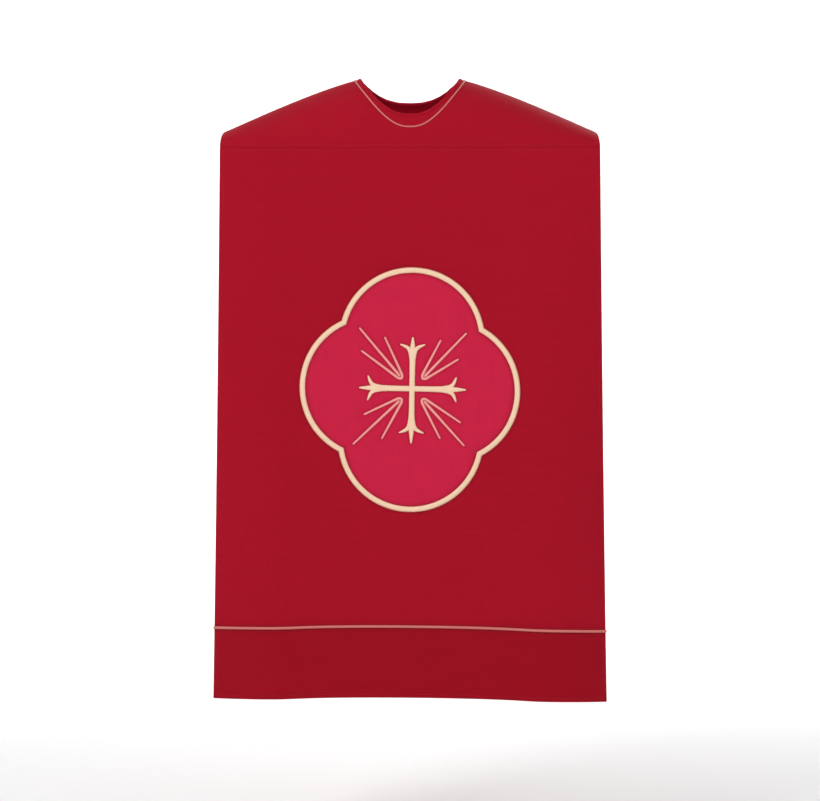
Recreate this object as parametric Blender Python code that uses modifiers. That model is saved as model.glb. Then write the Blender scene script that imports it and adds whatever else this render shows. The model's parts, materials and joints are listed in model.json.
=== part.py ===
"""A square-cut chasuble, hanging open as it does from a pair of shoulders.

A yoke with the neck opening lies over the shoulders. A front and a back panel hang from its two
straight seams and swing on them. Each is made of outer cloth, interlining and lining, with facings
along its open edges and a hem band set on with gold piping. The front carries a quatrefoil medallion
with a cross and rays.

Metres. +Z is up, the front faces -Y, and the origin is in the middle of the neck opening, level with
the ridge of the shoulders. "Left" and "right" are as seen from the front, so right is +X.
"""

import math

import bmesh
import bpy
from mathutils import Vector

# The garment
TOP_HALF_WIDTH = 0.305  # at the shoulder seams
HEM_HALF_WIDTH = 0.318
YOKE_HALF_DEPTH = 0.120  # from the ridge of the shoulders to either seam
SEAM_Z = -0.130
HEM_Z = -1.010
PIPING_Z = -0.896
SHOULDER_DROP = 0.092  # how much lower the ridge is at its outer ends
LEVEL_HALF_WIDTH = 0.070  # the ridge is level beside the neck, out to here
SHOULDER_CURVE = 1.25  # the power that the ridge falls with
SIDE_SET_BACK = 0.035  # how far the panels' free edges stand back from their flat middle
FLAT_SHARE = 0.625  # the middle of a panel is flat out to this share of its half width

# The neck opening, in plan
NECK_HALF_WIDTH = 0.085
NECK_FRONT_Y = -0.1115
NECK_BACK_Y = 0.080
NECK_SQUARENESS = 2.5  # 2 is an ellipse, and more is fuller at the corners

# The layers, measured in from the outer face of the cloth
OUTER_THICKNESS = 0.0012
INTERLINING_DEPTH = 0.0015
INTERLINING_THICKNESS = 0.0010
LINING_DEPTH = 0.0028
LINING_THICKNESS = 0.0008
GAP = 0.0003  # between pieces that lie on each other
BUTT_GAP = 0.0005  # half of the gap between pieces sewn edge to edge
SEAM_GAP = 0.0011  # half of the gap at a shoulder seam, which opens and closes as a panel swings
EDGE_INSET = 0.0020  # the interlining stops short of the cloth's edge
HEM_FACING_DEPTH = 0.035
FACING_SHARE = 0.875  # the side facings start at this share of the half width

# Each panel hangs with its weight under its seam, so it leans out by the little that its curved
# sides and its layers draw the weight in.
FRONT_LEAN = math.radians(0.57)
BACK_LEAN = math.radians(0.63)

# Cords
HEM_PIPING_RADIUS = 0.0023
HEM_PIPING_STANDOFF = 0.0010  # of its middle, out from the face of the cloth
PIPING_SLOT = 0.0029  # half of the gap between panel and hem band, where the piping lies
NECK_PIPING_RADIUS = 0.0013
NECK_CORD_RADIUS = 0.0034
NECK_PIPING_STANDOFF = 0.0009  # over the faceted cloth
NECK_PIPING_OUTSET = 0.0060

# The medallion, slightly askew, as it is sewn on
MEDALLION_Z = -0.515
LOBE_RADIUS = 0.1124  # to the middle of the border
LOBE_CENTRES = ((0.0596, -0.0037), (0.0030, 0.0777), (-0.0599, 0.0034), (0.0010, -0.0802))
BORDER_WIDTH = 0.0095
BORDER_HEIGHT = 0.0030
GROUND_THICKNESS = 0.0006
BACKING_THICKNESS = 0.0008
BACKING_INSET = 0.0060
CROSS_HEIGHT = 0.0014
RAY_HEIGHT = 0.0010
CROSSBAR_TILT = math.radians(1.2)  # the crossbar falls towards the right
UPRIGHT_LEAN = math.radians(1.0)  # the upright leans towards the right
CROSS_SHIFT = (0.0032, 0.0003)  # from the middle of the medallion, across and up

# The cross, along one arm from the centre
ARM_LENGTH = 0.0850
STEM_HALF_WIDTH = 0.0050
FLARE_START = 0.0530
LEAF_TIP = (0.0200, 0.0715)
LEAF_NOTCH = (0.0056, 0.0692)
SPIKE_SHOULDER = (0.0040, 0.0752)

# The rays that spring from a heel in each corner of the cross. Each corner has its signs across and
# up, and its rays' slopes in degrees above the level with their lengths.
RAY_HEEL = 0.0178  # the heel's place, both across and up from the centre
RAY_HEEL_BACK = 0.0035
RAY_HALF_WIDTH = 0.0021
RAY_TIP_HALF_WIDTH = 0.0012
RAY_CROTCH = 0.0150
RAYS = {
    "upper_left": (-1, 1, ((34, 0.077), (50, 0.104), (68, 0.070))),
    "upper_right": (1, 1, ((28, 0.064), (46, 0.100), (65, 0.067))),
    "lower_left": (-1, -1, ((22, 0.064), (43, 0.105), (64, 0.070))),
    "lower_right": (1, -1, ((31, 0.071), (48, 0.099), (66, 0.068))),
}

# How finely the curved cloth is divided
COLUMNS = 16
PANEL_ROWS = 8
YOKE_ROWS = 14
LOBE_STEPS = 14
NECK_STEPS = 44
FLARE_STEPS = 4

PANEL_LENGTH = SEAM_Z - HEM_Z
PIPING_DOWN = SEAM_Z - PIPING_Z
FRONT, BACK = -1, 1  # the way that each side faces, along Y


# ---------------------------------------------------------------- scene and materials


def clear_scene():
    for obj in list(bpy.data.objects):
        bpy.data.objects.remove(obj)


def new_collection(name):
    collection = bpy.data.collections.new(name)
    bpy.context.scene.collection.children.link(collection)
    return collection


def new_material(name, colour, roughness):
    material = bpy.data.materials.new(name)
    material.use_nodes = True
    shader = material.node_tree.nodes["Principled BSDF"]
    shader.inputs["Base Color"].default_value = (*colour, 1.0)
    shader.inputs["Roughness"].default_value = roughness
    shader.inputs["Metallic"].default_value = 0.0
    material.diffuse_color = (*colour, 1.0)
    return material


clear_scene()
GARMENT = new_collection("chasuble")
CUTTERS = new_collection("cutters")

RED_CLOTH = new_material("red_cloth", (0.380, 0.010, 0.022), 0.85)
RED_LINING = new_material("red_lining", (0.300, 0.008, 0.016), 0.45)
CANVAS = new_material("canvas", (0.640, 0.590, 0.470), 0.90)
CRIMSON_SATIN = new_material("crimson_satin", (0.570, 0.018, 0.055), 0.50)
GOLD_THREAD = new_material("gold_thread", (0.840, 0.630, 0.420), 0.50)
GOLD_PIPING = new_material("gold_piping", (0.600, 0.170, 0.150), 0.50)
FELT = new_material("felt", (0.450, 0.030, 0.060), 0.95)


def into_garment(obj, material):
    GARMENT.objects.link(obj)
    obj.data.materials.append(material)
    return obj


# ---------------------------------------------------------------- the cloth's shape


def ridge_z(x):
    """Height of the shoulders' ridge at x."""
    out = max(0.0, abs(x) - LEVEL_HALF_WIDTH) / (TOP_HALF_WIDTH - LEVEL_HALF_WIDTH)
    return -SHOULDER_DROP * out**SHOULDER_CURVE


def on_yoke(u, turn):
    """Outer face of the yoke: u is -1 to 1 across, turn is 0 at the front seam and pi at the back."""
    x = u * TOP_HALF_WIDTH
    arch = (ridge_z(x) - SEAM_Z) * math.sin(turn)
    return Vector((x, -YOKE_HALF_DEPTH * math.cos(turn), SEAM_Z + arch))


def on_panel(side, u, down):
    """Outer face of a panel, measured from its seam: down is the distance below the seam."""
    fall = down / PANEL_LENGTH
    half_width = TOP_HALF_WIDTH + (HEM_HALF_WIDTH - TOP_HALF_WIDTH) * fall
    off_flat = max(0.0, abs(u) - FLAT_SHARE) / (1 - FLAT_SHARE)
    set_back = SIDE_SET_BACK * (1 - (1 - fall) ** 2) * off_flat**2
    return Vector((u * half_width, -side * set_back, -down))


def stations(low, high, step):
    """Both ends, and the multiples of step that lie well between them."""
    clear = step * 0.05
    first = math.ceil((low + clear) / step)
    last = math.floor((high - clear) / step)
    return [low, *(k * step for k in range(first, last + 1)), high]


def cloth(name, surface, across, along, depth, thickness, material, outward):
    """A layer of cloth: a grid laid on the surface, set in by depth and given its thickness."""
    mesh = bpy.data.meshes.new(name)
    grid = bmesh.new()
    bmesh.ops.create_grid(grid, x_segments=len(across) - 1, y_segments=len(along) - 1, size=1.0)
    for vertex in grid.verts:
        column = round((vertex.co.x + 1) / 2 * (len(across) - 1))
        row = round((vertex.co.y + 1) / 2 * (len(along) - 1))
        vertex.co = surface(across[column], along[row])
    grid.normal_update()
    grid.faces.ensure_lookup_table()
    middle = grid.faces[len(grid.faces) // 2]
    if middle.normal.dot(outward(middle.calc_center_median())) < 0:
        bmesh.ops.reverse_faces(grid, faces=grid.faces)
    grid.to_mesh(mesh)
    grid.free()
    obj = into_garment(bpy.data.objects.new(name, mesh), material)
    if depth:
        inset = obj.modifiers.new("depth", "DISPLACE")
        inset.direction = "NORMAL"
        inset.mid_level = 0.0
        inset.strength = -depth
    shell = obj.modifiers.new("thickness", "SOLIDIFY")
    shell.thickness = thickness
    shell.offset = -1.0
    # Every layer is split along the same diagonals, so the gaps between them stay even.
    split = obj.modifiers.new("triangles", "TRIANGULATE")
    split.quad_method = "FIXED"
    return obj


# ---------------------------------------------------------------- the yoke


def up(point):
    return Vector((0, 0, 1))


def neck_plan(angle):
    """A point on the opening's edge in plan, and the direction straight out from the edge there."""
    half_depth = (NECK_BACK_Y - NECK_FRONT_Y) / 2
    cosine, sine = math.cos(angle), math.sin(angle)
    across = math.copysign(abs(cosine) ** (2 / NECK_SQUARENESS), cosine)
    along = math.copysign(abs(sine) ** (2 / NECK_SQUARENESS), sine)
    steep = 2 - 2 / NECK_SQUARENESS
    out_x = math.copysign(abs(cosine) ** steep, cosine) / NECK_HALF_WIDTH
    out_y = math.copysign(abs(sine) ** steep, sine) / half_depth
    point = Vector((NECK_HALF_WIDTH * across, (NECK_FRONT_Y + NECK_BACK_Y) / 2 + half_depth * along))
    return point, Vector((out_x, out_y, 0)).normalized()


def yoke_z(x, y):
    """Height of the yoke's outer face over a point in plan."""
    share = max(0.0, 1 - (y / YOKE_HALF_DEPTH) ** 2)
    return SEAM_Z + (ridge_z(x) - SEAM_Z) * math.sqrt(share)


def yoke_normal(x, y):
    step = 0.001
    slope_x = (yoke_z(x + step, y) - yoke_z(x - step, y)) / (2 * step)
    slope_y = (yoke_z(x, y + step) - yoke_z(x, y - step)) / (2 * step)
    return Vector((-slope_x, -slope_y, 1)).normalized()


def neck_cutter():
    bpy.ops.mesh.primitive_cylinder_add(vertices=NECK_STEPS, radius=1.0, depth=0.4)
    cutter = bpy.context.active_object
    cutter.name = "neck_cutter"
    for vertex in cutter.data.vertices:
        plan, _ = neck_plan(math.atan2(vertex.co.y, vertex.co.x))
        vertex.co.xy = plan
    for collection in list(cutter.users_collection):
        collection.objects.unlink(cutter)
    CUTTERS.objects.link(cutter)
    cutter.hide_render = True
    cutter.display_type = "WIRE"
    return cutter


def closed_cord(name, points, radius, material, sides=2):
    """A round cord that runs through the points, back to the first."""
    curve = bpy.data.curves.new(name, "CURVE")
    curve.dimensions = "3D"
    curve.bevel_depth = radius
    curve.bevel_resolution = sides
    spline = curve.splines.new("POLY")
    spline.points.add(len(points) - 1)
    for slot, point in zip(spline.points, points):
        slot.co = (*point, 1.0)
    spline.use_cyclic_u = True
    return into_garment(bpy.data.objects.new(name, curve), material)


def build_yoke():
    columns = stations(-1.0, 1.0, 2 / COLUMNS)
    seam_turn = SEAM_GAP / (-SEAM_Z)
    rows = stations(seam_turn, math.pi - seam_turn, math.pi / YOKE_ROWS)
    inset = EDGE_INSET / TOP_HALF_WIDTH
    core_columns = stations(-1.0 + inset, 1.0 - inset, 2 / COLUMNS)
    butt = BUTT_GAP / TOP_HALF_WIDTH
    lining_columns = stations(-FACING_SHARE + butt, FACING_SHARE - butt, 2 / COLUMNS)
    layers = (
        ("yoke_shell", columns, 0.0, OUTER_THICKNESS, RED_CLOTH),
        ("yoke_interlining", core_columns, INTERLINING_DEPTH, INTERLINING_THICKNESS, CANVAS),
        ("yoke_lining", lining_columns, LINING_DEPTH, LINING_THICKNESS, RED_LINING),
    )
    cutter = neck_cutter()
    for name, across, depth, thickness, material in layers:
        layer = cloth(name, on_yoke, across, rows, depth, thickness, material, up)
        cut = layer.modifiers.new("neck", "BOOLEAN")
        cut.operation = "DIFFERENCE"
        cut.object = cutter
    for name, side in (("left", -1), ("right", 1)):
        ends = sorted((side * (FACING_SHARE + butt), side * 1.0))
        cloth(
            f"armhole_facing_{name}", on_yoke, ends, rows, LINING_DEPTH, LINING_THICKNESS, RED_CLOTH, up
        )


def build_neck_edge():
    """The covered cord that finishes the opening, and the gold piping laid round it."""
    angles = [2 * math.pi * k / NECK_STEPS for k in range(NECK_STEPS)]
    binding, piping = [], []
    cloth_thickness = LINING_DEPTH + LINING_THICKNESS
    for angle in angles:
        plan, away = neck_plan(angle)
        edge = Vector((*plan, yoke_z(*plan)))
        middle = edge - yoke_normal(edge.x, edge.y) * cloth_thickness / 2
        binding.append(middle - away * (NECK_CORD_RADIUS + 2 * GAP))
        out = edge + away * NECK_PIPING_OUTSET
        out.y = max(out.y, -YOKE_HALF_DEPTH * 0.985)
        out.z = yoke_z(out.x, out.y)
        normal = yoke_normal(out.x, out.y)
        piping.append(out + normal * (NECK_PIPING_RADIUS + NECK_PIPING_STANDOFF))
    closed_cord("neck_binding", binding, NECK_CORD_RADIUS, RED_CLOTH)
    closed_cord("neck_piping", piping, NECK_PIPING_RADIUS, GOLD_PIPING)


# ---------------------------------------------------------------- the panels


def seam_hinge(name, side, lean):
    """The line that a panel swings on: its shoulder seam, on the outer face of the cloth."""
    hinge = bpy.data.objects.new(name, None)
    hinge.location = (0, side * YOKE_HALF_DEPTH, SEAM_Z)
    hinge.rotation_euler = (side * lean, 0, 0)
    GARMENT.objects.link(hinge)
    return hinge


def build_panel(prefix, side, hinge):
    """Outer cloth, hem band, interlining, lining, facings and piping of the front or the back."""

    def surface(u, down):
        return on_panel(side, u, down)

    def outward(point):
        return Vector((0, side, 0))

    column_step = 2 / COLUMNS
    row_step = PANEL_LENGTH / PANEL_ROWS
    inset = EDGE_INSET / TOP_HALF_WIDTH
    butt = BUTT_GAP / TOP_HALF_WIDTH
    full = stations(-1.0, 1.0, column_step)
    core = stations(-1.0 + inset, 1.0 - inset, column_step)
    middle = stations(-FACING_SHARE + butt, FACING_SHARE - butt, column_step)
    left = [-1.0, -FACING_SHARE - butt]
    right = [FACING_SHARE + butt, 1.0]
    to_piping = stations(SEAM_GAP, PIPING_DOWN - PIPING_SLOT, row_step)
    to_hem = stations(PIPING_DOWN + PIPING_SLOT, PANEL_LENGTH, row_step)
    to_inset = stations(SEAM_GAP, PANEL_LENGTH - EDGE_INSET, row_step)
    facing_top = PANEL_LENGTH - HEM_FACING_DEPTH
    to_facing = stations(SEAM_GAP, facing_top - BUTT_GAP, row_step)
    hem_facing = stations(facing_top + BUTT_GAP, PANEL_LENGTH, row_step)
    layers = (
        ("panel", full, to_piping, 0.0, OUTER_THICKNESS, RED_CLOTH),
        ("hem_band", full, to_hem, 0.0, OUTER_THICKNESS, RED_CLOTH),
        ("interlining", core, to_inset, INTERLINING_DEPTH, INTERLINING_THICKNESS, CANVAS),
        ("lining", middle, to_facing, LINING_DEPTH, LINING_THICKNESS, RED_LINING),
        ("facing_left", left, to_facing, LINING_DEPTH, LINING_THICKNESS, RED_CLOTH),
        ("facing_right", right, to_facing, LINING_DEPTH, LINING_THICKNESS, RED_CLOTH),
        ("hem_facing", full, hem_facing, LINING_DEPTH, LINING_THICKNESS, RED_CLOTH),
    )
    for name, across, along, depth, thickness, material in layers:
        layer = cloth(
            f"{prefix}_{name}", surface, across, along, depth, thickness, material, outward
        )
        layer.parent = hinge
    hem_piping(f"{prefix}_hem_piping", side, core).parent = hinge


def hem_piping(name, side, across):
    """A filled cord lying in the seam between the panel and its hem band."""
    curve = bpy.data.curves.new(name, "CURVE")
    curve.dimensions = "3D"
    curve.bevel_depth = HEM_PIPING_RADIUS
    curve.bevel_resolution = 2
    curve.use_fill_caps = True
    spline = curve.splines.new("POLY")
    spline.points.add(len(across) - 1)
    for slot, u in zip(spline.points, across):
        middle = on_panel(side, u, PIPING_DOWN) + Vector((0, side * HEM_PIPING_STANDOFF, 0))
        slot.co = (*middle, 1.0)
    return into_garment(bpy.data.objects.new(name, curve), GOLD_PIPING)


# ---------------------------------------------------------------- the medallion


def askew(x, z):
    """Where a point of the upright cross lies once it is sewn on."""
    return (
        x * math.cos(CROSSBAR_TILT) + z * math.sin(UPRIGHT_LEAN),
        z * math.cos(UPRIGHT_LEAN) - x * math.sin(CROSSBAR_TILT),
    )


def cusp(centre, following, radius):
    """Where two neighbouring lobes meet, on the outside."""
    first, second = Vector(centre), Vector(following)
    apart = second - first
    reach = math.sqrt(radius**2 - (apart.length / 2) ** 2)
    outward = Vector((apart.y, -apart.x)).normalized()
    return (first + second) / 2 + outward * reach


def quatrefoil(radius):
    """Outline of the four round lobes, anticlockwise from the foot of the right one."""
    outline = []
    for number, centre in enumerate(LOBE_CENTRES):
        start = cusp(LOBE_CENTRES[number - 1], centre, radius) - Vector(centre)
        end = cusp(centre, LOBE_CENTRES[(number + 1) % 4], radius) - Vector(centre)
        first = math.atan2(start.y, start.x)
        sweep = (math.atan2(end.y, end.x) - first) % (2 * math.pi)
        for step in range(LOBE_STEPS):
            angle = first + sweep * step / LOBE_STEPS
            outline.append(
                (centre[0] + radius * math.cos(angle), centre[1] + radius * math.sin(angle))
            )
    return outline


def bend(start, control, end, steps):
    """Points on a quadratic curve, without its start."""
    points = []
    for step in range(1, steps + 1):
        t = step / steps
        points.append(
            tuple(
                (1 - t) ** 2 * a + 2 * t * (1 - t) * b + t**2 * c
                for a, b, c in zip(start, control, end)
            )
        )
    return points


def cross_outline():
    """A cross whose four arms each end in a spike between two leaves."""
    flare = (STEM_HALF_WIDTH, FLARE_START)
    half_arm = [(STEM_HALF_WIDTH, STEM_HALF_WIDTH), flare]
    half_arm += bend(flare, (STEM_HALF_WIDTH + 0.001, LEAF_NOTCH[1]), LEAF_TIP, FLARE_STEPS)
    half_arm += [LEAF_NOTCH, SPIKE_SHOULDER]
    arm = half_arm + [(0.0, ARM_LENGTH)] + [(-w, r) for w, r in reversed(half_arm[1:])]
    outline = []
    for quarter in range(4):
        turn = math.radians(-90 * quarter)
        # From the right side of each arm to its left, so the next arm is the one anticlockwise.
        for w, r in arm:
            x = w * math.cos(turn) + r * math.sin(turn)
            z = r * math.cos(turn) - w * math.sin(turn)
            outline.append(askew(x, z))
    return shifted(outline)


def shifted(outline):
    return [(x + CROSS_SHIFT[0], z + CROSS_SHIFT[1]) for x, z in outline]


def direction(degrees):
    return Vector((math.cos(math.radians(degrees)), math.sin(math.radians(degrees))))


def ray_outline(across, up_by, rays):
    """Three tapering rays that spring from one heel."""
    x, z = askew(across * RAY_HEEL, up_by * RAY_HEEL)
    heel = Vector((across * x, up_by * z))
    outline = [heel - RAY_HEEL_BACK * direction(45)]
    for number, (slope, length) in enumerate(rays):
        along = direction(slope)
        beside = Vector((-along.y, along.x))
        tip = heel + along * length
        if number == 0:
            outline.append(heel - beside * RAY_HALF_WIDTH)
        outline.append(tip - beside * RAY_TIP_HALF_WIDTH)
        outline.append(tip + beside * RAY_TIP_HALF_WIDTH)
        if number == len(rays) - 1:
            outline.append(heel + beside * RAY_HALF_WIDTH)
        else:
            outline.append(heel + RAY_CROTCH * direction((slope + rays[number + 1][0]) / 2))
    return shifted([(across * point.x, up_by * point.y) for point in outline])


def flat_piece(name, outlines, lift, thickness, material, hinge):
    """A flat piece on the front's middle, lift above the cloth. A second outline is a hole."""
    curve = bpy.data.curves.new(name, "CURVE")
    curve.dimensions = "2D"
    curve.fill_mode = "BOTH"
    curve.extrude = thickness / 2
    for outline in outlines:
        spline = curve.splines.new("POLY")
        spline.points.add(len(outline) - 1)
        for slot, (x, z) in zip(spline.points, outline):
            slot.co = (x, z, 0.0, 1.0)
        spline.use_cyclic_u = True
    obj = into_garment(bpy.data.objects.new(name, curve), material)
    obj.parent = hinge
    obj.location = (0, -lift - thickness / 2, MEDALLION_Z - SEAM_Z)
    obj.rotation_euler = (math.radians(90), 0, 0)


def build_medallion(hinge):
    inside = LOBE_RADIUS - BORDER_WIDTH / 2
    outside = LOBE_RADIUS + BORDER_WIDTH / 2
    ground_lift = 2 * GAP + BACKING_THICKNESS
    work_lift = ground_lift + GROUND_THICKNESS + GAP
    backing = [quatrefoil(inside - BACKING_INSET)]
    flat_piece("medallion_backing", backing, GAP, BACKING_THICKNESS, FELT, hinge)
    ground = [quatrefoil(inside - GAP)]
    flat_piece("medallion_ground", ground, ground_lift, GROUND_THICKNESS, CRIMSON_SATIN, hinge)
    border = [quatrefoil(outside), quatrefoil(inside)]
    flat_piece("medallion_border", border, GAP, BORDER_HEIGHT, GOLD_THREAD, hinge)
    flat_piece("cross", [cross_outline()], work_lift, CROSS_HEIGHT, GOLD_THREAD, hinge)
    for corner, (across, up_by, rays) in RAYS.items():
        outline = [ray_outline(across, up_by, rays)]
        flat_piece(f"rays_{corner}", outline, work_lift, RAY_HEIGHT, GOLD_THREAD, hinge)


build_yoke()
build_neck_edge()
front_hinge = seam_hinge("front_hinge", FRONT, FRONT_LEAN)
build_panel("front", FRONT, front_hinge)
build_medallion(front_hinge)
back_hinge = seam_hinge("back_hinge", BACK, BACK_LEAN)
build_panel("back", BACK, back_hinge)
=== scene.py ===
"""Looks of the square-cut chasuble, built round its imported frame.

Every piece of cloth, cord and embroidery lies on one of three faces: the yoke over the shoulders,
and the front and back panels, whose shape comes from a cloth simulation. A piece is worked out
flat, as it would be on the cutting table, and then laid on its face at its depth in the layers.
"""

import json
import math

import bmesh
import bpy
import numpy as np
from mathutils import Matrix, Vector
from mathutils.kdtree import KDTree


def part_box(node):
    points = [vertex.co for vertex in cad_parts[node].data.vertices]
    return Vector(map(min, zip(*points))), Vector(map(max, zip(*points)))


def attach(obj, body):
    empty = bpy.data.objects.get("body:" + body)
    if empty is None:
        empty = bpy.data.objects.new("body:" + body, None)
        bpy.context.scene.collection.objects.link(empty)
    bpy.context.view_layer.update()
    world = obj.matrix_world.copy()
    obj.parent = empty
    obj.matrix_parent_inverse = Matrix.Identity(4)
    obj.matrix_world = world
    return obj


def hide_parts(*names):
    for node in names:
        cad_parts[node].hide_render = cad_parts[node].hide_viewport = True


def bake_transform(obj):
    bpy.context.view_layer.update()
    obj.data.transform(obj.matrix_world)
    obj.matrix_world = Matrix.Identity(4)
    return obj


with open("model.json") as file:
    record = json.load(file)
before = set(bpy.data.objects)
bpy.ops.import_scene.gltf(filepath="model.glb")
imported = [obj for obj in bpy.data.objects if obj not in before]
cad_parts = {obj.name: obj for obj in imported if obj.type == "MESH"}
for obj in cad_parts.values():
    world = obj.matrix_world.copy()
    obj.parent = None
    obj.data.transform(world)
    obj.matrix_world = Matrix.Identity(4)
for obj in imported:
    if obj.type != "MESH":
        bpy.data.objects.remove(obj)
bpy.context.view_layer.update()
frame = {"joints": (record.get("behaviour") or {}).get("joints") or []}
MM = 0.001
FRONT, BACK = -1, 1  # the way that each side faces, along Y
SEAM = {joint["child"]: Vector(joint["pos_m"]) for joint in frame["joints"]}
LEAN = {"front": math.radians(0.57), "back": math.radians(0.63)}

# ---------------------------------------------------------------- sizes, from the frame

HALF_DEPTH = SEAM["back"].y  # from the ridge of the shoulders to either seam
SEAM_Z = SEAM["front"].z
TOP_HALF_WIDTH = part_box("yoke_shell")[1].x
HEM_HALF_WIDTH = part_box("front_hem_band")[1].x
PANEL_LENGTH = SEAM_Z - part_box("front_hem_band")[0].z
HEM_PIPING_RADIUS = 2.3 * MM
HEM_PIPING_STANDOFF = 0.9 * MM  # of its middle, out from the face of the cloth
NECK_PIPING_RADIUS = 1.3 * MM
PIPING_DOWN = SEAM_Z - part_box("front_hem_piping")[0].z - HEM_PIPING_RADIUS
MEDALLION_DOWN = SEAM_Z - (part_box("medallion_ground")[0].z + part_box("medallion_ground")[1].z) / 2

# The cloth's shape between those sizes
SIDE_SET_BACK = 35 * MM  # how far the sides fall back from the middle, at the hem
FLAT_SHARE = 0.625  # of a panel's half width, which hangs flat
SHOULDER_DROP = 92 * MM  # of the ridge, from the neck to the armholes
LEVEL_HALF_WIDTH = 70 * MM  # of the ridge beside the neck, before it drops
SHOULDER_CURVE = 1.25
HEM_BOW = 0.075  # how the piping and the hem fall away from their highest point, per metre
HEM_CROWN = -0.062  # where that is, across the cloth

# Turned edges, seams and stitching, and the depths of the layers in from the outer face
EDGE_ROLL = 1.8 * MM  # radius that the turned edges are rounded to
SEAM_ROLL = 1.1 * MM
QUARTER_TURN = np.linspace(0, 1, 5)[1:] * math.pi / 2  # of a turned edge, after its start
TURNED_SEAM_GAP = SEAM_ROLL * 0.85  # from the seam to where the outer cloth starts to turn in
FACING_SET_BACK = 0.6 * MM  # of the facings' edges from the cloth's
EDGE_STITCHING = 6 * MM  # from the cloth's edges
SEAM_STITCHING = 4.5 * MM  # from the seam
PIPING_STITCHING = 4.4 * MM  # from the middle of the piping
PIPING_SLOT = 2.1 * MM  # from the middle of the piping to where the cloth beside it turns in
STITCH_LENGTH, STITCH_GAP, STITCH_RADIUS = 2.6 * MM, 1.2 * MM, 0.28 * MM
INNER_SEAM_GAP = 0.25 * MM  # from the seam to the inner layers' edges
CLOTH_THICKNESS = 0.8 * MM
CANVAS_DEPTH = 1.5 * MM
CANVAS_THICKNESS = 0.6 * MM
LINING_DEPTH = 2.6 * MM
LINING_THICKNESS = 0.5 * MM
CANVAS_SET_BACK = 3 * MM  # of the canvas's sides from the cloth's
FACING_SHARE = 0.875
LINING_SHARE = FACING_SHARE + 3 * MM / TOP_HALF_WIDTH  # it reaches just under the facings
HEM_FACING_DEPTH = 35 * MM

YOKE_SPACING = 2.5 * MM  # between the points round its outline

# The neck opening, in plan
NECK_GAP = 0.6 * MM
NECK_HALF_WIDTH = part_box("neck_binding")[1].x + NECK_GAP
NECK_FRONT_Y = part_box("neck_binding")[0].y - NECK_GAP
NECK_BACK_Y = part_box("neck_binding")[1].y + NECK_GAP
NECK_SQUARENESS = 2.5
BINDING_RADIUS = 3.6 * MM
NECK_PIPING_OUTSET = 6.0 * MM

# The medallion, slightly askew as it is sewn on: right, top, left and bottom lobes
LOBE_RADIUS = 112.4 * MM
LOBE_CENTRES = np.array(((59.6, -3.7), (3.0, 77.7), (-59.9, 3.4), (1.0, -80.2))) * MM
BORDER_WIDTH = 9.8 * MM
CROSSBAR_TILT = math.radians(1.2)
UPRIGHT_LEAN = math.radians(1.0)
CROSS_SHIFT = (3.2 * MM, 0.3 * MM)

BEND_LENGTH = 80 * MM  # how far down from a seam the rows of a panel's pieces lie close together, where the cloth would bend as its panel swings


# ---------------------------------------------------------------- camera

VIEW_WIDTH = 1.312  # at the medallion, in metres
CAMERA_LENS = 85.0
CAMERA_DROP = 18.9 * MM  # below the middle of the medallion


def add_camera():
    data = bpy.data.cameras.new("camera")
    data.lens = CAMERA_LENS
    data.sensor_width = 36.0
    camera = bpy.data.objects.new("camera", data)
    bpy.context.scene.collection.objects.link(camera)
    distance = VIEW_WIDTH * CAMERA_LENS / data.sensor_width
    front_y = -HALF_DEPTH - MEDALLION_DOWN * math.sin(LEAN["front"])
    camera.location = (0, front_y - distance, SEAM_Z - MEDALLION_DOWN - CAMERA_DROP)
    camera.rotation_euler = (math.radians(90), 0, 0)
    bpy.context.scene.camera = camera


add_camera()


# ---------------------------------------------------------------- materials


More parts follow.
